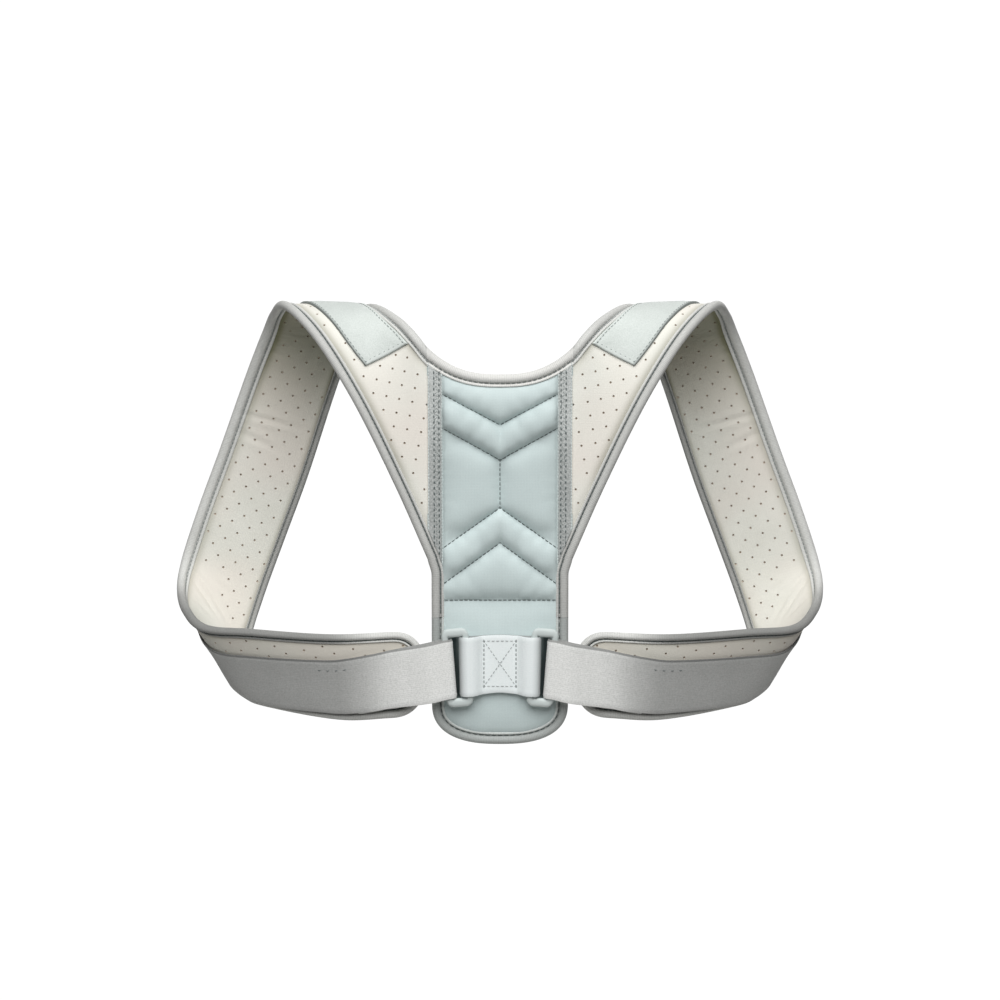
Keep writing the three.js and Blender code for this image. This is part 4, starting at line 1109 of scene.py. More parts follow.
# %% Shade of the pad
SLOT_OUT, SLOT_HALF, SLOT_LEAN = (26.2, 28.6), 3.4, (-244, -206)
SLOT_FOOT, SLOT_HEAD = (-249, -245), (-207, -203)
LOW_SHADE, LOW_OUT, LOW_DOWN = 0.2, (20, 34), (236, 262)
CORD_SHADE, CORD_OUT, CORD_HALF, CORD_FOOT = 0.22, 35.4, 0.9, (-166, -158)
slot_middle = blend(*SLOT_OUT, ease(pad_height, *SLOT_LEAN))
slot_shade = np.exp(-((pad_out - slot_middle) / SLOT_HALF) ** 4) * within(pad_height, SLOT_FOOT, SLOT_HEAD)
low_shade = LOW_SHADE * ease(pad_out, *LOW_OUT) * ease(-pad_height, *LOW_DOWN)
cord_shade = CORD_SHADE * bell(pad_out, CORD_OUT, CORD_HALF) * ease(pad_height, *CORD_FOOT)
pad_shade = np.clip(slot_shade + low_shade + cord_shade, 0, 1).ravel()
set_values(quilted_pad, "shade", np.concatenate([pad_shade, 0 * pad_shade]))
print("pad shade up to", round(float(pad_shade.max()), 2))

# %% [markdown]
# ## Stitches
# A sewn line is one short arch of thread after another. A Geometry Nodes tree turns a drawn line
# into a curve, spaces points along it at the stitch length, and sets an arch on each point, turned
# along the line and standing on the cloth. Every seam of the brace is sewn by this one tree.

# %% The stitch tree
STITCH_DIP, STITCH_CROWN = -1.2, 0.5  # of its ends and its middle, in thread radii
THREADS = []


def stitch_tree():
    """Sets an arch of thread on a drawn line at every stitch, turned along it and facing out."""
    tree, given, result = new_tree("sewn line", [
        ("Pitch", "Float"), ("Length", "Float"), ("Thread", "Float"), ("Material", "Material")])
    line = wire(tree, "GeometryNodeMeshToCurve", {"Mesh": given["Geometry"]})
    even = wire(tree, "GeometryNodeResampleCurve", {
        "Curve": line.outputs[0], "Length": given["Pitch"]}, mode="LENGTH")
    ahead = wire(tree, "GeometryNodeInputTangent").outputs[0]
    turned = wire(tree, "FunctionNodeAxesToRotation", {
        "Primary Axis": attribute(tree, "facing"), "Secondary Axis": ahead},
        primary_axis="Z", secondary_axis="X")
    dip = math_node(tree, "MULTIPLY", given["Thread"], STITCH_DIP)
    crown = math_node(tree, "MULTIPLY", given["Thread"], STITCH_CROWN)
    start, middle, end = (
        wire(tree, "ShaderNodeCombineXYZ", {
            "X": math_node(tree, "MULTIPLY", given["Length"], share), "Z": height}).outputs[0]
        for share, height in ((-0.5, dip), (0.0, crown), (0.5, dip)))
    arch_curve = wire(tree, "GeometryNodeCurveArc", {
        "Resolution": 6, "Start": start, "Middle": middle, "End": end}, mode="POINTS")
    round_thread = wire(tree, "GeometryNodeCurvePrimitiveCircle", {
        "Resolution": 5, "Radius": given["Thread"]})
    stitch = wire(tree, "GeometryNodeCurveToMesh", {
        "Curve": arch_curve.outputs[0], "Profile Curve": round_thread.outputs[0], "Fill Caps": True})
    smooth = wire(tree, "GeometryNodeSetShadeSmooth", {"Geometry": stitch.outputs[0], "Shade Smooth": True})
    sewn = wire(tree, "GeometryNodeInstanceOnPoints", {
        "Points": even.outputs[0], "Instance": smooth.outputs[0], "Rotation": turned.outputs[0]})
    hand_out(tree, given, result, sewn.outputs[0])
    return tree


STITCH = stitch_tree()


def sew(name, lines, material, pitch=3.0, length=2.3, thread=0.24):
    """Sews lines of points in millimetres, each with the way that the cloth faces at its points, and
    sews the left seam too where the name is that of a right one."""
    points = np.concatenate([line for line, _ in lines])
    facing = np.concatenate([np.broadcast_to(face, line.shape) for line, face in lines])
    edges, start = [], 0
    for line, _ in lines:
        edges += [(start + k, start + k + 1) for k in range(len(line) - 1)]
        start += len(line)
    mesh = bpy.data.meshes.new(name)
    mesh.from_pydata(((points + [0, PAD_DEPTH, 0]) * MM).tolist(), edges, [])
    stored = mesh.attributes.new("facing", "FLOAT_VECTOR", "POINT")
    stored.data.foreach_set("vector", unit(facing).astype(np.float32).ravel())
    piece = grown(add_object(name + "_line", mesh), STITCH, name, Pitch=pitch * MM, Length=length * MM,
                  Thread=thread * MM, Material=material)
    layer = piece.data.uv_layers.new(name="cloth")
    layer.data.foreach_set("uv", np.zeros(len(piece.data.loops) * 2, np.float32))
    THREADS.append(piece)
    if name.endswith("_right"):
        THREADS.append(add_twin(piece))
    print(name, len(piece.data.polygons), "faces")


def seam_lines(origin, inward, face, sides=(1, -1)):
    """The groove of a folded tape, on its outer and inner face."""
    return [(origin + inward * SEAM_IN + face * SEAM_HEIGHT * side, face * side) for side in sides]


print("stitch tree", len(STITCH.nodes), "nodes")

# %% Sew the tapes
SHOULDER_SECTION = 4.6  # where the body edge's seam turns to silver thread
shoulder_start = body_start + int((body_s > SHOULDER_SECTION).sum())
SIDE_SEAMS = [  # name, rows of the side tape, face, thread and its sizes
    ("edge_stitches_right", slice(2, shoulder_start), 1, DARK_THREAD, dict(length=2.7, thread=0.34)),
    ("shoulder_stitches_right", slice(shoulder_start, None), 1, SILVER_THREAD, dict(thread=0.32)),
    ("lining_stitches_right", slice(None), -1, THREAD, {})]
for name, run, side, thread, sizes in SIDE_SEAMS:
    sew(name, seam_lines(side_origin[run], side_inward[run], side_face[run], (side,)), thread, **sizes)
sew("neck_stitches", seam_lines(neck_edge, neck_in, neck_face), THREAD, pitch=3.4, length=2.1, thread=0.3)
hem_run = slice(3, -3)
sew("hem_stitches", seam_lines(hem_edge[hem_run], hem_in[hem_run], hem_face[hem_run]), DARK_THREAD,
    pitch=4.0, length=2.7)

# %% Sew the quilting
SEAM_LIFT = np.array([0, -0.15, 0])
panel = slice(FLANGE_COLUMNS, FLANGE_COLUMNS + PANEL_COLUMNS + 1)
panel_middle = FLANGE_COLUMNS + PANEL_COLUMNS // 2
quilting = []
for first_row, last_row, (*_, split) in zip(cell_rows, cell_rows[1:], CHANNELS):
    if split:
        quilting.append((front[first_row:last_row + 1, panel_middle] + SEAM_LIFT, BACK))
    quilting.append((front[last_row, panel] + SEAM_LIFT, BACK))
sew("quilt_stitches", quilting, DARK_THREAD, thread=0.32)

# %% [markdown]
# ## Seam tapes beside the pad
# A soft knit tape lies over each seam between pad and strap, held by two rows of stitches with
# looping threads across, and with a pale cord of thread along each long edge. It is a thin slab with
# rounded long edges, cut slanting at its foot where the strap's edge tape passes.

# %% Knit seam tapes
TAPE_IN, TAPE_OUT, TAPE_TURN, TAPE_FACE = 37.2, 45.4, 1.2, -2.6
KNIT_REST, KNIT_UNDER, KNIT_RIM, KNIT_CROWN, KNIT_ROUND = 1.65, 1.6, 0.35, 0.65, 0.9
NECK_LAP, FOOT_GAP, ROW_LAP = 0.9, 0.3, 0.6
ROW_INSETS, SECOND_ROW_LATER = (1.2, 4.4), 1.7
CORD_PLACES = (-0.5, -1.9), (7.9, -2.45)  # in from the inner edge, and depth
side_border = (side_origin + side_inward * TAPE_REACH)[pad_side]


def foot_height(x):
    """Where the strap's edge tape cuts the knit tape off."""
    return np.interp(x, side_border[:, 0], side_border[:, 2]) + FOOT_GAP


tape_t = np.linspace(0, 1, 90)[:, None]
tape_x = blend(TAPE_IN, TAPE_OUT, np.linspace(0, 1, 13))[None]
tape_z = blend(neck_height(tape_x) - (TAPE_REACH - NECK_LAP) * neck_slant, foot_height(tape_x), tape_t)
tape_grid = np.stack(np.broadcast_arrays(tape_x, 0 * tape_z, tape_z), -1)
from_rim = np.minimum(tape_x - TAPE_IN, TAPE_OUT - tape_x)
tape_lift = KNIT_RIM + KNIT_CROWN * np.sqrt(np.clip(from_rim / KNIT_ROUND, 0, 1)) + 0 * tape_z
outer_face = tape_grid + np.stack([0 * tape_lift, -KNIT_REST - tape_lift, 0 * tape_lift], -1)
inner_face = tape_grid + [0, -KNIT_UNDER, 0]
add_twin(slab("knit_tape_right", outer_face, inner_face, tape_grid[..., [2, 0]] * [-1, 1], KNIT))


def tape_row(inset, depth=TAPE_FACE, later=0.0):
    """A row of points down the knit tape, in from its inner edge."""
    x = TAPE_IN + inset
    top = float(neck_height(x)) - (TAPE_REACH - ROW_LAP) * neck_slant - later
    heights = np.arange(top, foot_height(x) + ROW_LAP, -1.0)
    return np.stack([0 * heights + x, 0 * heights + depth, heights], -1), BACK


def zigzag(inset_a, inset_b, step):
    """A line that swings between two rows of the tape."""
    line = tape_row((inset_a + inset_b) / 2)[0][::step]
    line[:, 0] = TAPE_IN + np.where(np.arange(len(line)) % 2 == 0, inset_a, inset_b)
    return line, BACK


knit_rows = [tape_row(ROW_INSETS[0]), tape_row(ROW_INSETS[1], later=SECOND_ROW_LATER)]
sew("knit_stitches_right", knit_rows, DARK_THREAD, pitch=3.4, length=1.7, thread=0.4)
sew("knit_loops_right", [zigzag(*ROW_INSETS, 2)], THREAD, pitch=1.9, length=2.2, thread=0.17)
knit_cords = [tape_row(*place) for place in CORD_PLACES]
sew("knit_cords_right", knit_cords, PALE_THREAD, pitch=2.0, length=2.5, thread=0.34)

# %% [markdown]
# ## Shoulder patches
# A flat patch of short pile lies on top of each shoulder, sewn down round its border. Its face sinks
# at the sewing and rises a little in the middle, so its height depends on the distance from its
# nearest edge. It is bent over the shoulder with the strap, on the strap's own surface.

# %% Place of the shoulder patches
PATCH_START, PATCH_END, PATCH_SLANT, SLANT_FADE = 1.75, 6.6, 0.645, 3
PATCH_FROM_ARM, PATCH_BACK_IN, PATCH_FROM_NECK = 15.8, 2.8, 8.2
BACK_FROM, BACK_OVER, STRAIGHT_SHARE = 2.0, 0.8, 0.3
NEWTON_STEPS, PROBE = 6, 0.01


def strap_place(target, section, across):
    """Where points of the flat pattern lie on the strap, by a few Newton steps from a guess."""
    for _ in range(NEWTON_STEPS):
        here = flat_place(section, across)
        ahead = (flat_place(section + PROBE, across) - here) / PROBE
        aside = (flat_place(section, across + PROBE) - here) / PROBE
        miss = target - here
        scale = ahead[..., 0] * aside[..., 1] - ahead[..., 1] * aside[..., 0]
        section = section + (miss[..., 0] * aside[..., 1] - miss[..., 1] * aside[..., 0]) / scale
        across = across + (ahead[..., 0] * miss[..., 1] - ahead[..., 1] * miss[..., 0]) / scale
    return section, across


def patch_place(t, w):
    """The patch's points on the strap, t along it and w across it. Its back end is cut straight."""
    t, w = together(t, w)

    def bent(t, w):
        slant = PATCH_SLANT * np.clip(1 - t * SLANT_FADE, 0, 1)
        s = blend(PATCH_START, PATCH_END, t) + slant * (0.5 - w)
        from_arm = PATCH_FROM_ARM + PATCH_BACK_IN * np.clip(1 - (s - BACK_FROM) / BACK_OVER, 0, 1) ** 2
        return s, blend(edge_share(s, 0, from_arm), edge_share(s, 1, PATCH_FROM_NECK), w)

    s, v = bent(t, w)
    ends = [flat_place(*bent(np.zeros(1), np.full(1, side)))[0] for side in (0.0, 1.0)]
    straight = blend(ends[0], ends[1], w[..., None]) - flat_place(*bent(0 * t, w))
    return strap_place(flat_place(s, v) + straight * (1 - ease(t, 0, STRAIGHT_SHARE))[..., None], s, v)


def border_steps(count, close):
    """Even steps from 0 to 1 with a few extra ones close to both ends."""
    return np.concatenate([[0], close, np.linspace(close[-1], 1 - close[-1], count)[1:-1],
                           1 - np.array(close[::-1]), [1]])


patch_t = border_steps(70, [0.002, 0.005, 0.01])
patch_w = border_steps(26, [0.006, 0.015, 0.03])
patch_s, patch_v = patch_place(patch_t[:, None], patch_w[None])
patch_flat = flat_place(patch_s, patch_v)
along_mm = travel(patch_flat[:, len(patch_w) // 2])
patch_width = np.linalg.norm(patch_flat[:, -1] - patch_flat[:, 0], axis=-1)[:, None]
print("patch", round(along_mm[-1]), "mm long,", round(float(patch_width.mean()), 1), "mm wide")

# %% Shoulder patches
PATCH_SEAM, PATCH_REST, PATCH_ROLL, PATCH_ROUND, PATCH_UNDER = 2.4, 2.1, 1.1, 0.8, 1.65
PATCH_CROWN, CROWN_RANGE, PATCH_SINK, SINK_HALF = 0.45, (2.0, 9.0), 0.35, 0.7
# Painted shadow along the patch's arm-side edge and its back end, and painted shade on its far part,  where
# it turns over the shoulder.
ARM_SHADE, END_SHADE, FAR_SHADE = (0.8, 1.3), (0.4, 0.9), 0.12  # how dark, and how far in
FAR_RANGE = 25, 55
patch_rim = np.minimum(np.minimum(along_mm, along_mm[-1] - along_mm)[:, None],
                       np.minimum(patch_w, 1 - patch_w)[None] * patch_width)
patch_high = PATCH_REST + PATCH_ROLL * np.sqrt(1 - (1 - np.clip(patch_rim / PATCH_ROUND, 0, 1)) ** 2)
patch_high += PATCH_CROWN * ease(patch_rim, *CROWN_RANGE)
patch_high -= PATCH_SINK * bell(patch_rim, PATCH_SEAM, SINK_HALF)
patch = slab("shoulder_patch_right", strap_point(patch_s, patch_v, patch_high),
             strap_point(patch_s, patch_v, 0 * patch_s + PATCH_UNDER), patch_flat, PATCH)
patch_shade = np.maximum(ARM_SHADE[0] * bell(patch_w[None] * patch_width, 0, ARM_SHADE[1]),
                         END_SHADE[0] * bell(along_mm[:, None], 0, END_SHADE[1]))
patch_shade = np.maximum(patch_shade, FAR_SHADE * ease(along_mm[:, None], *FAR_RANGE))
set_values(patch, "shade", np.tile(patch_shade.ravel(), 2))
add_twin(patch)
print("patch", len(patch.data.polygons), "faces")

# %% Sew the patches
PATCH_STITCH = 2.95
SEAM_SHARE_OF = 40.0  # width that the side seams' inset is a share of


def patch_line(t, w):
    s, v = patch_place(t, w)
    return strap_point(s, v, PATCH_STITCH + 0 * s), strap_normal(s, v)


end_in, side_in = PATCH_SEAM / along_mm[-1], PATCH_SEAM / SEAM_SHARE_OF
run, cross = np.linspace(end_in, 1 - end_in, 90), np.linspace(side_in, 1 - side_in, 24)
sew("patch_stitches_right", [patch_line(run, side_in), patch_line(run, 1 - side_in),
                             patch_line(end_in, cross), patch_line(1 - end_in, cross)], THREAD, pitch=3.2)

# %% [markdown]
# ## Pull webbings
# Each webbing is sewn to the strap on the chest side, lies along the outside of the lower strap,
# goes round the ring's outer bar and comes back to be sewn under itself. Its line is a row of
# stations, some on the strap and some round the bar, with a smooth curve through them. Near its
# lower edge it climbs over the strap's edge tape. The pull draws it in a little along the strap.

# %% Webbing route
WEB_STOCK, WEB_WIDTH, WEB_HALF = 38.0, 35.8, 0.75
WEB_COLUMNS, WEB_STEP = 22, 1.25
ROUTE = np.array([  # section, drop of the upper edge from the arm edge, lift of upper and lower edge
    (9.0, 11.0, 2.8, 4.1), (10.0, 14.0, 2.6, 4.2), (11.0, 17.0, 2.5, 4.2), (12.0, 20.0, 2.5, 4.2),
    (13.0, 19.4, 2.5, 4.2), (14.0, 18.6, 2.7, 4.2), (15.0, 16.2, 3.7, 4.7), (16.0, 10.6, 6.1, 6.5)])
SEWN = np.array([(15.0, 17.5, 2.4, 4.1), (16.0, 10.9, 4.1, 4.7)])
SEWN_END, ROUTE_STEP, SEWN_STEP = 15.34, 0.25, 0.22
FULL_WIDTH_FROM, FULL_WIDTH_AT = 14.5, 16.0
BAR_SAG, RUN_SAG, FOLD_GAP, FOLD_ROOM, BESIDE_BAR = 0.3, 0.16, 0.35, 1.1, (4.0, 12.0)
RING_OUT, RING_BACK, RING_HEIGHT, RING_TILT = 27.0, -9.2, -226.2, math.radians(4.4)
RING_WIDTH, RING_TALL, RING_BAR, RING_THICK = 17.4, 49.5, 4.4, 4.0
ring_out = np.array([math.cos(RING_TILT), 0, -math.sin(RING_TILT)])
ring_up = np.array([math.sin(RING_TILT), 0, math.cos(RING_TILT)])
ring_centre = np.array([RING_OUT, RING_BACK, RING_HEIGHT])
web_share = np.linspace(0, 1, WEB_COLUMNS)


def web_wide(section):
    """The pull draws the webbing in, and the ring's bar holds it at its full width."""
    return blend(WEB_WIDTH, WEB_STOCK, ease(section, FULL_WIDTH_FROM, FULL_WIDTH_AT))


def web_on_strap(route, section):
    """Middle line of the webbing across the strap at one section."""
    drop, upper, lower = (np.interp(section, route[:, 0], route[:, k]) for k in (1, 2, 3))
    across = (drop + web_share * web_wide(section)) / strap_width(section)
    lift = blend(upper, lower, ease(web_share, 0.25, 1.0))
    return strap_point(np.full(WEB_COLUMNS, section), across, lift)


def web_at_ring(out, back):
    sag = BAR_SAG + RUN_SAG * max(out - bar_out, 0)
    middle = ring_centre + ring_out * out + np.array([0, back, 0]) - ring_up * sag
    return middle + ring_up * ((0.5 - web_share) * WEB_STOCK)[:, None]


bar_out = RING_WIDTH / 2 - RING_BAR / 2
fold_back = RING_THICK / 2 + FOLD_GAP + WEB_HALF
fold_out = RING_BAR / 2 + FOLD_ROOM + WEB_HALF
route_start, route_end = ROUTE[0, 0], ROUTE[-1, 0]
stations = [web_on_strap(ROUTE, s) for s in np.arange(route_start, route_end + 0.01, ROUTE_STEP)]
stations += [web_at_ring(bar_out + far, -fold_back) for far in BESIDE_BAR[::-1]]
stations += [web_at_ring(bar_out - fold_out * math.sin(a), -fold_back * math.cos(a))
             for a in np.linspace(0, math.pi, 9)]
stations += [web_at_ring(bar_out + far, fold_back) for far in BESIDE_BAR]
stations += [web_on_strap(SEWN, s) for s in np.arange(route_end, SEWN_END, -SEWN_STEP)]
stations = np.array(stations)
web_path = smooth_path(stations)
fine = np.linspace(0, len(stations) - 1, 4000)
far = travel(web_path(fine)[:, WEB_COLUMNS // 2])
WEB_LENGTH = float(far[-1])
web_rows = np.interp(np.arange(0, WEB_LENGTH, WEB_STEP), far, fine)
web_middle = web_path(web_rows)
print("webbing", round(WEB_LENGTH), "mm long")

# %% Webbing body
WEB_SELVAGE = 0.8, 0.12, 1.6, 0.9  # rounding, and the cord's lift, place and half width
# Painted shade along the webbing: darkest where it lies along the lower strap, lightest towards the ring.
WEB_TONE = [  # distance from the chest end, and how light the webbing is there
    (0, 0.78), (100, 0.72), (140, 0.6), (165, 0.52), (190, 0.49), (212, 0.5), (228, 0.64), (244, 0.9),
    (254, 1.0), (WEB_LENGTH, 1.0)]
# A painted shadow line along the webbing's upper edge.
UPPER_LINE = [(0, 0.4), (0.9, 0.45), (1.5, 1.0), (WEB_WIDTH, 1.0)]  # the same from its upper edge


def webbing_finish(name, light, dark, tone, across_tone=None):
    return cloth_finish(name, rgb(*light), rgb(*dark), tone=tone, across_tone=across_tone,
                        pitch=(0.0009, 0.0012), weave=0.3, grain=1.1, blotch=0.2, roughness=0.65,
                        sheen=0.15, bump=0.00014, streak=0.3, grain_size=0.001)


def selvage_half(half, rim, rounding, lift, cord_in, cord_wide):
    """Half the thickness across a webbing, with round borders and a slight cord beside them."""
    border = half * np.sqrt(1 - (1 - np.clip(rim / rounding, 0.12, 1)) ** 2)
    return border + lift * bell(rim, cord_in, cord_wide)


web_normal = unit(np.cross(np.gradient(web_middle, axis=0), np.gradient(web_middle, axis=1)))
web_rim = np.minimum(web_share, 1 - web_share) * WEB_WIDTH
web_half = selvage_half(WEB_HALF, web_rim, *WEB_SELVAGE)
end_thin = np.ones(len(web_rows))
end_thin[[0, -1]] = 0.5
web_lift = web_normal * (end_thin[:, None] * web_half[None])[..., None]
web_far = np.interp(web_rows, fine, far)
web_uv = pairs(web_far, web_share * WEB_WIDTH)
WEBBING = webbing_finish("pull webbing", (255, 255, 253), (208, 210, 206), WEB_TONE, UPPER_LINE)
add_twin(slab("pull_webbing_right", web_middle + web_lift, web_middle - web_lift, web_uv, WEBBING))
print("webbing grid", web_middle.shape[:2], "points")

# %% Sew the webbing
BOX_INSET, BOX_LONG, TACK_ACROSS, TACK_SECTIONS = 3.0, 30.0, 6.2, np.array([14.78, 15.14])


def on_webbing(distance, across_mm, lift=WEB_HALF + 0.02):
    """Point and facing on the webbing's outer face, from its sewn chest end."""
    distance, across_mm = together(distance, across_mm)
    row_at = np.clip(np.searchsorted(web_far, distance), 1, len(web_far) - 1)
    column = np.round(across_mm / WEB_WIDTH * (WEB_COLUMNS - 1)).astype(int)
    column = np.clip(column, 0, WEB_COLUMNS - 1)
    normal = web_normal[row_at, column]
    return web_middle[row_at, column] + normal * lift, normal


tack_from, tack_to = np.interp((TACK_SECTIONS - route_start) / ROUTE_STEP, web_rows, web_far)
sew("tack_stitches_right", [on_webbing(np.linspace(tack_from, tack_to, 20), TACK_ACROSS)], DARK_THREAD,
    pitch=4.2, length=1.9)
box_far, box_low_edge = BOX_INSET + BOX_LONG, WEB_WIDTH - BOX_INSET
side_run = np.linspace(BOX_INSET, box_far, 30)
cross_run = np.linspace(BOX_INSET, box_low_edge, 30)
box = [on_webbing(side_run, BOX_INSET), on_webbing(side_run, box_low_edge),
       on_webbing(BOX_INSET, cross_run), on_webbing(box_far, cross_run),
       on_webbing(side_run, cross_run), on_webbing(side_run, cross_run[::-1])]
sew("box_stitches_right", box, PALE_THREAD, length=2.2)

# %% [markdown]
# ## Rings
# The rings are moulded in one piece: a rectangular loop of round-edged bar. A closed profile swept
# round a closed path with round corners has no seam or pole, and is smoother than the plain solid.

# %% Moulded rings
PATH_RADIUS, PROFILE_RADIUS, CROSSBAR_EXTRA = 2.6, 1.7, 0.27
LONG_SIDE = 2.5  # sides longer than this are cut into steps
RING_ROUGHNESS, FLOW_ROUGHNESS = 0.62, 0.2


def rounded_loop(width, tall, radius, corner_steps, side_steps):
    """Points round a rectangle with round corners, anticlockwise."""
    points = []
    for sign_x, sign_y, begin in ((1, -1, -90), (1, 1, 0), (-1, 1, 90), (-1, -1, 180)):
        centre = np.array([sign_x * (width / 2 - radius), sign_y * (tall / 2 - radius)])
        angles = np.radians(begin + np.linspace(0, 90, corner_steps + 1))
        points += [centre + radius * np.array([math.cos(a), math.sin(a)]) for a in angles]
    points = np.array(points)
    after = np.roll(points, -1, axis=0)
    shares = np.arange(side_steps) / side_steps
    long = np.linalg.norm(after - points, axis=-1) > LONG_SIDE
    return np.concatenate([[blend(p, q, s) for s in (shares if is_long else [0])]
                           for p, q, is_long in zip(points, after, long)])


def ring_finish():
    """Satin plastic with slow flow marks and a fine skin."""
    material, tree, shader = new_material("moulded ring plastic")
    spot = object_place(tree)
    flow = noise(tree, spot, 90.0, 3.0)
    tree.links.new(mixed(tree, flow, rgb(200, 209, 207), rgb(213, 221, 219)), shader.inputs["Base Color"])
    satin = math_node(tree, "ADD", math_node(tree, "MULTIPLY", flow, FLOW_ROUGHNESS), RING_ROUGHNESS)
    tree.links.new(satin, shader.inputs["Roughness"])
    skin = wire(tree, "ShaderNodeBump", {
        "Strength": 0.25, "Distance": 0.00005, "Height": noise(tree, spot, 2200.0, 1.0)})
    tree.links.new(skin.outputs[0], shader.inputs["Normal"])
    return material


bar_path = rounded_loop(RING_WIDTH - RING_BAR, RING_TALL - RING_BAR, PATH_RADIUS, 8, 10)
bar_profile = rounded_loop(RING_BAR, RING_THICK, PROFILE_RADIUS, 4, 3)
ahead = unit(np.roll(bar_path, -1, axis=0) - np.roll(bar_path, 1, axis=0))
outward = np.stack([ahead[:, 1], -ahead[:, 0]], -1)
bar_wide = 1 + CROSSBAR_EXTRA * outward[:, None, 1:] ** 2
in_plane = bar_path[:, None] + outward[:, None] * bar_profile[None, :, :1] * bar_wide
ring_points = (ring_centre + in_plane[..., :1] * ring_out + in_plane[..., 1:] * ring_up
               - BACK * bar_profile[None, :, 1:])
ring_uv = pairs(travel_round(bar_path), travel_round(bar_profile))
ring_faces = grid_faces(*ring_points.shape[:2], wrap=True, close=True)
add_twin(piece_from("moulded_ring_right", ring_points, ring_faces, grid_uv(ring_uv), ring_finish(), sharp=80))
print("ring", len(ring_faces), "faces")

# %% [markdown]
# ## Centre tab
# A short piece of webbing is folded round both rings' inner bars and sewn to itself and to the pad
# in the middle with a crossed box. Seen from above it is a flat loop with a roll at each end. The
# rolls follow the tilt of the rings, and the lower edge is drawn up a little by the sewing.

# %% Centre tab
TAB_HEIGHT, TAB_TALL, TAB_HALF, TAB_STEP = -225.5, 38.2, 0.7, 0.6
ROLL_X, ROLL_OUT, ROLL_DEPTH = 21.0, 4.1, 3.15
FRONT_Y, REAR_Y, FRONT_DIP = -7.45, -5.65, 0.2
SEWN_X, ROLL_START, RISE_Y = 11, 17.6, [-9.0, -11.0]  # the front rises between the two
TAB_SELVAGE = 0.7, 0.1, 1.5, 0.8
DRAWN_UP, DRAWN_MORE, DRAWN_HALF, LEAN_SHARE = 0.9, 1.1, 13.0, 0.25
roll_angle = np.radians(np.linspace(-90, 90, 17))
roll_arc = np.stack([ROLL_X + ROLL_OUT * np.cos(roll_angle), RING_BACK + ROLL_DEPTH * np.sin(roll_angle)], -1)
front_x = np.array([0, 4, 8, SEWN_X, 13, 15.2, ROLL_START])
front_levels = [FRONT_Y, FRONT_Y - FRONT_DIP, RING_BACK - ROLL_DEPTH + 0.1]
rear_levels = [REAR_Y, REAR_Y, RING_BACK + ROLL_DEPTH]
front_line, rear_line = (np.stack([front_x, np.interp(front_x, [0, SEWN_X, ROLL_START], levels)], -1)
                         for levels in (front_levels, rear_levels))
front_line[4:6, 1] = RISE_Y
half_loop = np.concatenate([front_line, roll_arc, rear_line[::-1]])
loop = np.concatenate([half_loop, half_loop[-2:0:-1] * [-1, 1]])
loop_path = smooth_path(np.concatenate([loop[-3:], loop, loop[:4]]))
fine = np.linspace(3, 3 + len(loop), 4000)
loop_far = travel(loop_path(fine))
TAB_LENGTH = loop_far[-1]
tab_far = np.arange(0, TAB_LENGTH - TAB_STEP / 2, TAB_STEP)
tab_line = loop_path(np.interp(tab_far, loop_far, fine))
tab_share = np.linspace(0, 1, 25)
tab_rim = np.minimum(tab_share, 1 - tab_share) * TAB_TALL
tab_half = selvage_half(TAB_HALF, tab_rim, *TAB_SELVAGE)
draw_up = bell(tab_line[:, :1], 0, DRAWN_HALF) * (DRAWN_UP + DRAWN_MORE * tab_share[None] ** 2)
tab_z = TAB_HEIGHT + (0.5 - tab_share[None]) * TAB_TALL + draw_up
lean = np.clip(np.abs(tab_line[:, :1]) / ROLL_X, 0, 1) ** 2 * np.sign(tab_line[:, :1])
tab_x = tab_line[:, :1] + lean * LEAN_SHARE * math.tan(RING_TILT) * (tab_z - RING_HEIGHT)
tab_middle = np.stack([tab_x, np.repeat(tab_line[:, 1:], len(tab_share), 1), tab_z], -1)
tab_along = np.roll(tab_middle, -1, 0) - np.roll(tab_middle, 1, 0)
tab_normal = unit(np.cross(tab_along, np.gradient(tab_middle, axis=1)))
tab_lift = tab_normal * tab_half[None, :, None]
tab_uv = pairs(np.append(tab_far, TAB_LENGTH), tab_share * TAB_TALL)
# Painted shade on the tab's rolls, darker towards their outer ends.
ROLL_TONE = [(0, 1.0), (22, 1.0), (24.5, 0.8), (26.5, 0.5), (28, 0.4)]
ROLL_TONE += [(TAB_LENGTH - far, level) for far, level in ROLL_TONE[::-1]]
TAB_CLOTH = webbing_finish("tab webbing", (250, 255, 255), (238, 246, 246), ROLL_TONE)
slab("ring_tab", tab_middle + tab_lift, tab_middle - tab_lift, tab_uv, TAB_CLOTH, close=True)
print("centre tab loop", round(TAB_LENGTH, 1), "mm")

# %% Sew the tab
BOX_X, BOX_TOP, BOX_LOW, TAB_STITCH = 10.2, -209.2, -238.4, 0.05


def on_tab(x, z):
    x, z = together(x, z)
    return np.stack([x, 0 * x + FRONT_Y - TAB_HALF - TAB_STITCH, z], -1), BACK


over, down = np.linspace(-BOX_X, BOX_X, 40), np.linspace(BOX_TOP, BOX_LOW, 40)
tab_cross = [on_tab(over, BOX_TOP), on_tab(over, BOX_LOW), on_tab(over, down), on_tab(-over, down)]
sew("tab_cross_stitches", tab_cross, SILVER_THREAD, pitch=2.7, length=2.1, thread=0.3)
tab_sides = [on_tab(-BOX_X, down), on_tab(BOX_X, down)]
sew("tab_side_stitches", tab_sides, THREAD, pitch=2.7, length=2.0, thread=0.36)
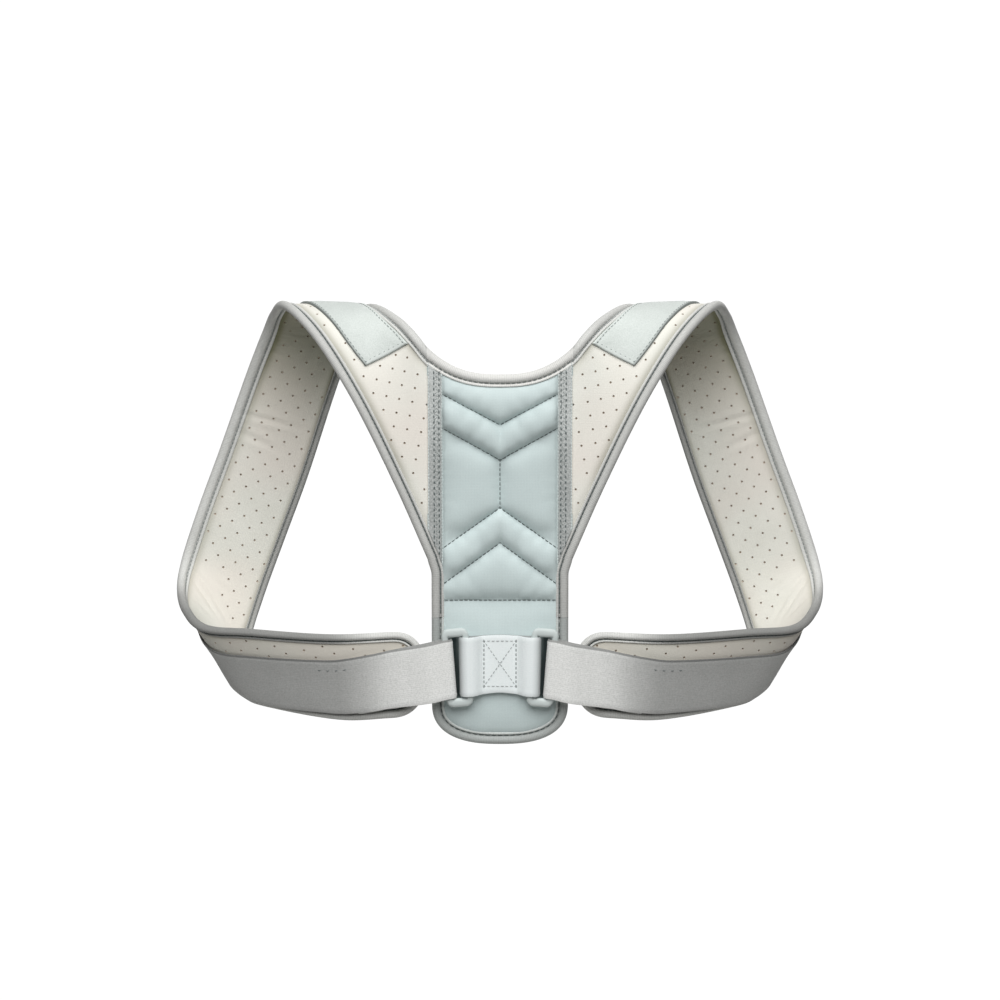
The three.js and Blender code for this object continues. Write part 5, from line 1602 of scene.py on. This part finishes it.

# %% [markdown]
# ## Hand the pieces to the frame
# Each piece rides on the brace's one body and stands for its plain solid, which is hidden.

# %% Ride and replace
SIDES = ("right", "left")
SINGLE = [  # piece, solid that it stands for, finish slot
    ("quilted_pad", "spine_pad", "quilted_cover"), ("neck_tape", "binding_neck", "edge_tape"),
    ("hem_tape", "binding_hem", "edge_tape"), ("ring_tab", "centre_tab", "pull_webbing")]
PAIRED = [  # the same for pieces with a right and a left one
    ("foam_strap", "strap", "perforated_foam"), ("edge_tape", "binding", "edge_tape"),
    ("knit_tape", "seam_tape", "knit_tape"), ("shoulder_patch", "shoulder_tab", "shoulder_patch"),
    ("pull_webbing", "webbing", "pull_webbing"), ("moulded_ring", "ring", "ring_plastic")]
PIECES = SINGLE + [(piece + "_" + side, node + "_" + side, finish_slot)
                   for piece, node, finish_slot in PAIRED for side in SIDES]
made = bpy.data.objects
for name, node, finish_slot in PIECES:
    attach(made[name], "root")
    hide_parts(node)
for piece in THREADS:
    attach(piece, "root")
print("pieces", len(PIECES), "and", len(THREADS), "runs of thread")

# %% Triangles of the shown pieces
triangles = {o.name: sum(len(p.vertices) - 2 for p in o.data.polygons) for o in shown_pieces()}
print("triangles", sum(triangles.values()), "most", max(triangles.items(), key=lambda item: item[1]))

# %% [markdown]
# ## Camera, light and floor
# The picture is taken from behind, a little above the pad, with a long lens so that the straps keep
# their proportions. One large soft box stands above the camera and a weaker one beyond the brace.
# The world is white to the camera and nearly dark to the brace, so that the backdrop stays white and
# the soft boxes do the lighting. The pale floor lies as far below as it does when the brace is worn.

# %% Camera
CAMERA_FAR, CAMERA_UP, LENS, SENSOR = 1.8, math.radians(8), 102.4, 36.0
TARGET = np.array([0.0, PAD_DEPTH * MM, -0.12])
camera_data = bpy.data.cameras.new("camera")
camera_data.lens = LENS
camera_data.sensor_width = SENSOR
camera = add_object("camera", camera_data)
camera.location = TARGET + CAMERA_FAR * np.array([0, -math.cos(CAMERA_UP), math.sin(CAMERA_UP)])
camera.rotation_euler = (math.radians(90) - CAMERA_UP, 0, 0)
bpy.context.scene.camera = camera
print("camera", np.round(camera.location, 3).tolist())

# %% Lights
LAMPS = [  # name, place, size, watts
    ("key", (0.0, -1.4, 1.5), 2.4, 64), ("rear", (0.4, 1.9, 0.9), 1.6, 22)]
LAMP_TARGET = np.array([0, PAD_DEPTH * MM, -0.13])
SEEN_WHITE, AIR_LIGHT = 1.02, 0.03
for name, place, size, watts in LAMPS:
    lamp = bpy.data.lights.new(name, "AREA")
    lamp.shape = "DISK"
    lamp.size = size
    lamp.energy = watts
    light = add_object(name, lamp)
    light.location = place
    light.rotation_euler = Vector(LAMP_TARGET - np.array(place)).to_track_quat("-Z", "Y").to_euler()
world = bpy.data.worlds.new("studio")
world.use_nodes = True
bpy.context.scene.world = world
air = world.node_tree
backdrop = air.nodes["Background"]
backdrop.inputs["Color"].default_value = (1, 1, 1, 1)
seen = wire(air, "ShaderNodeLightPath").outputs["Is Camera Ray"]
strength = math_node(air, "ADD", math_node(air, "MULTIPLY", seen, SEEN_WHITE), AIR_LIGHT)
air.links.new(strength, backdrop.inputs["Strength"])
bpy.context.scene.view_settings.view_transform = "Standard"
print("lamps", len(LAMPS))

# %% Floor
FLOOR_HEIGHT, FLOOR_RADIUS, FLOOR_POINTS = -1.35, 2.2, 96
round_turn = np.linspace(0, 2 * math.pi, FLOOR_POINTS + 1)[:-1]
rim_points = [(FLOOR_RADIUS * math.cos(a), FLOOR_RADIUS * math.sin(a), FLOOR_HEIGHT) for a in round_turn]
floor_mesh = bpy.data.meshes.new("floor")
floor_mesh.from_pydata(rim_points, [], [list(range(FLOOR_POINTS))])
floor = add_object("floor", floor_mesh)
paper, tree, shader = new_material("pale floor")
pale = mixed(tree, noise(tree, object_place(tree), 3.0), rgb(240, 240, 238), rgb(248, 248, 246))
tree.links.new(pale, shader.inputs["Base Color"])
floor_mesh.materials.append(paper)
print("floor at", FLOOR_HEIGHT)
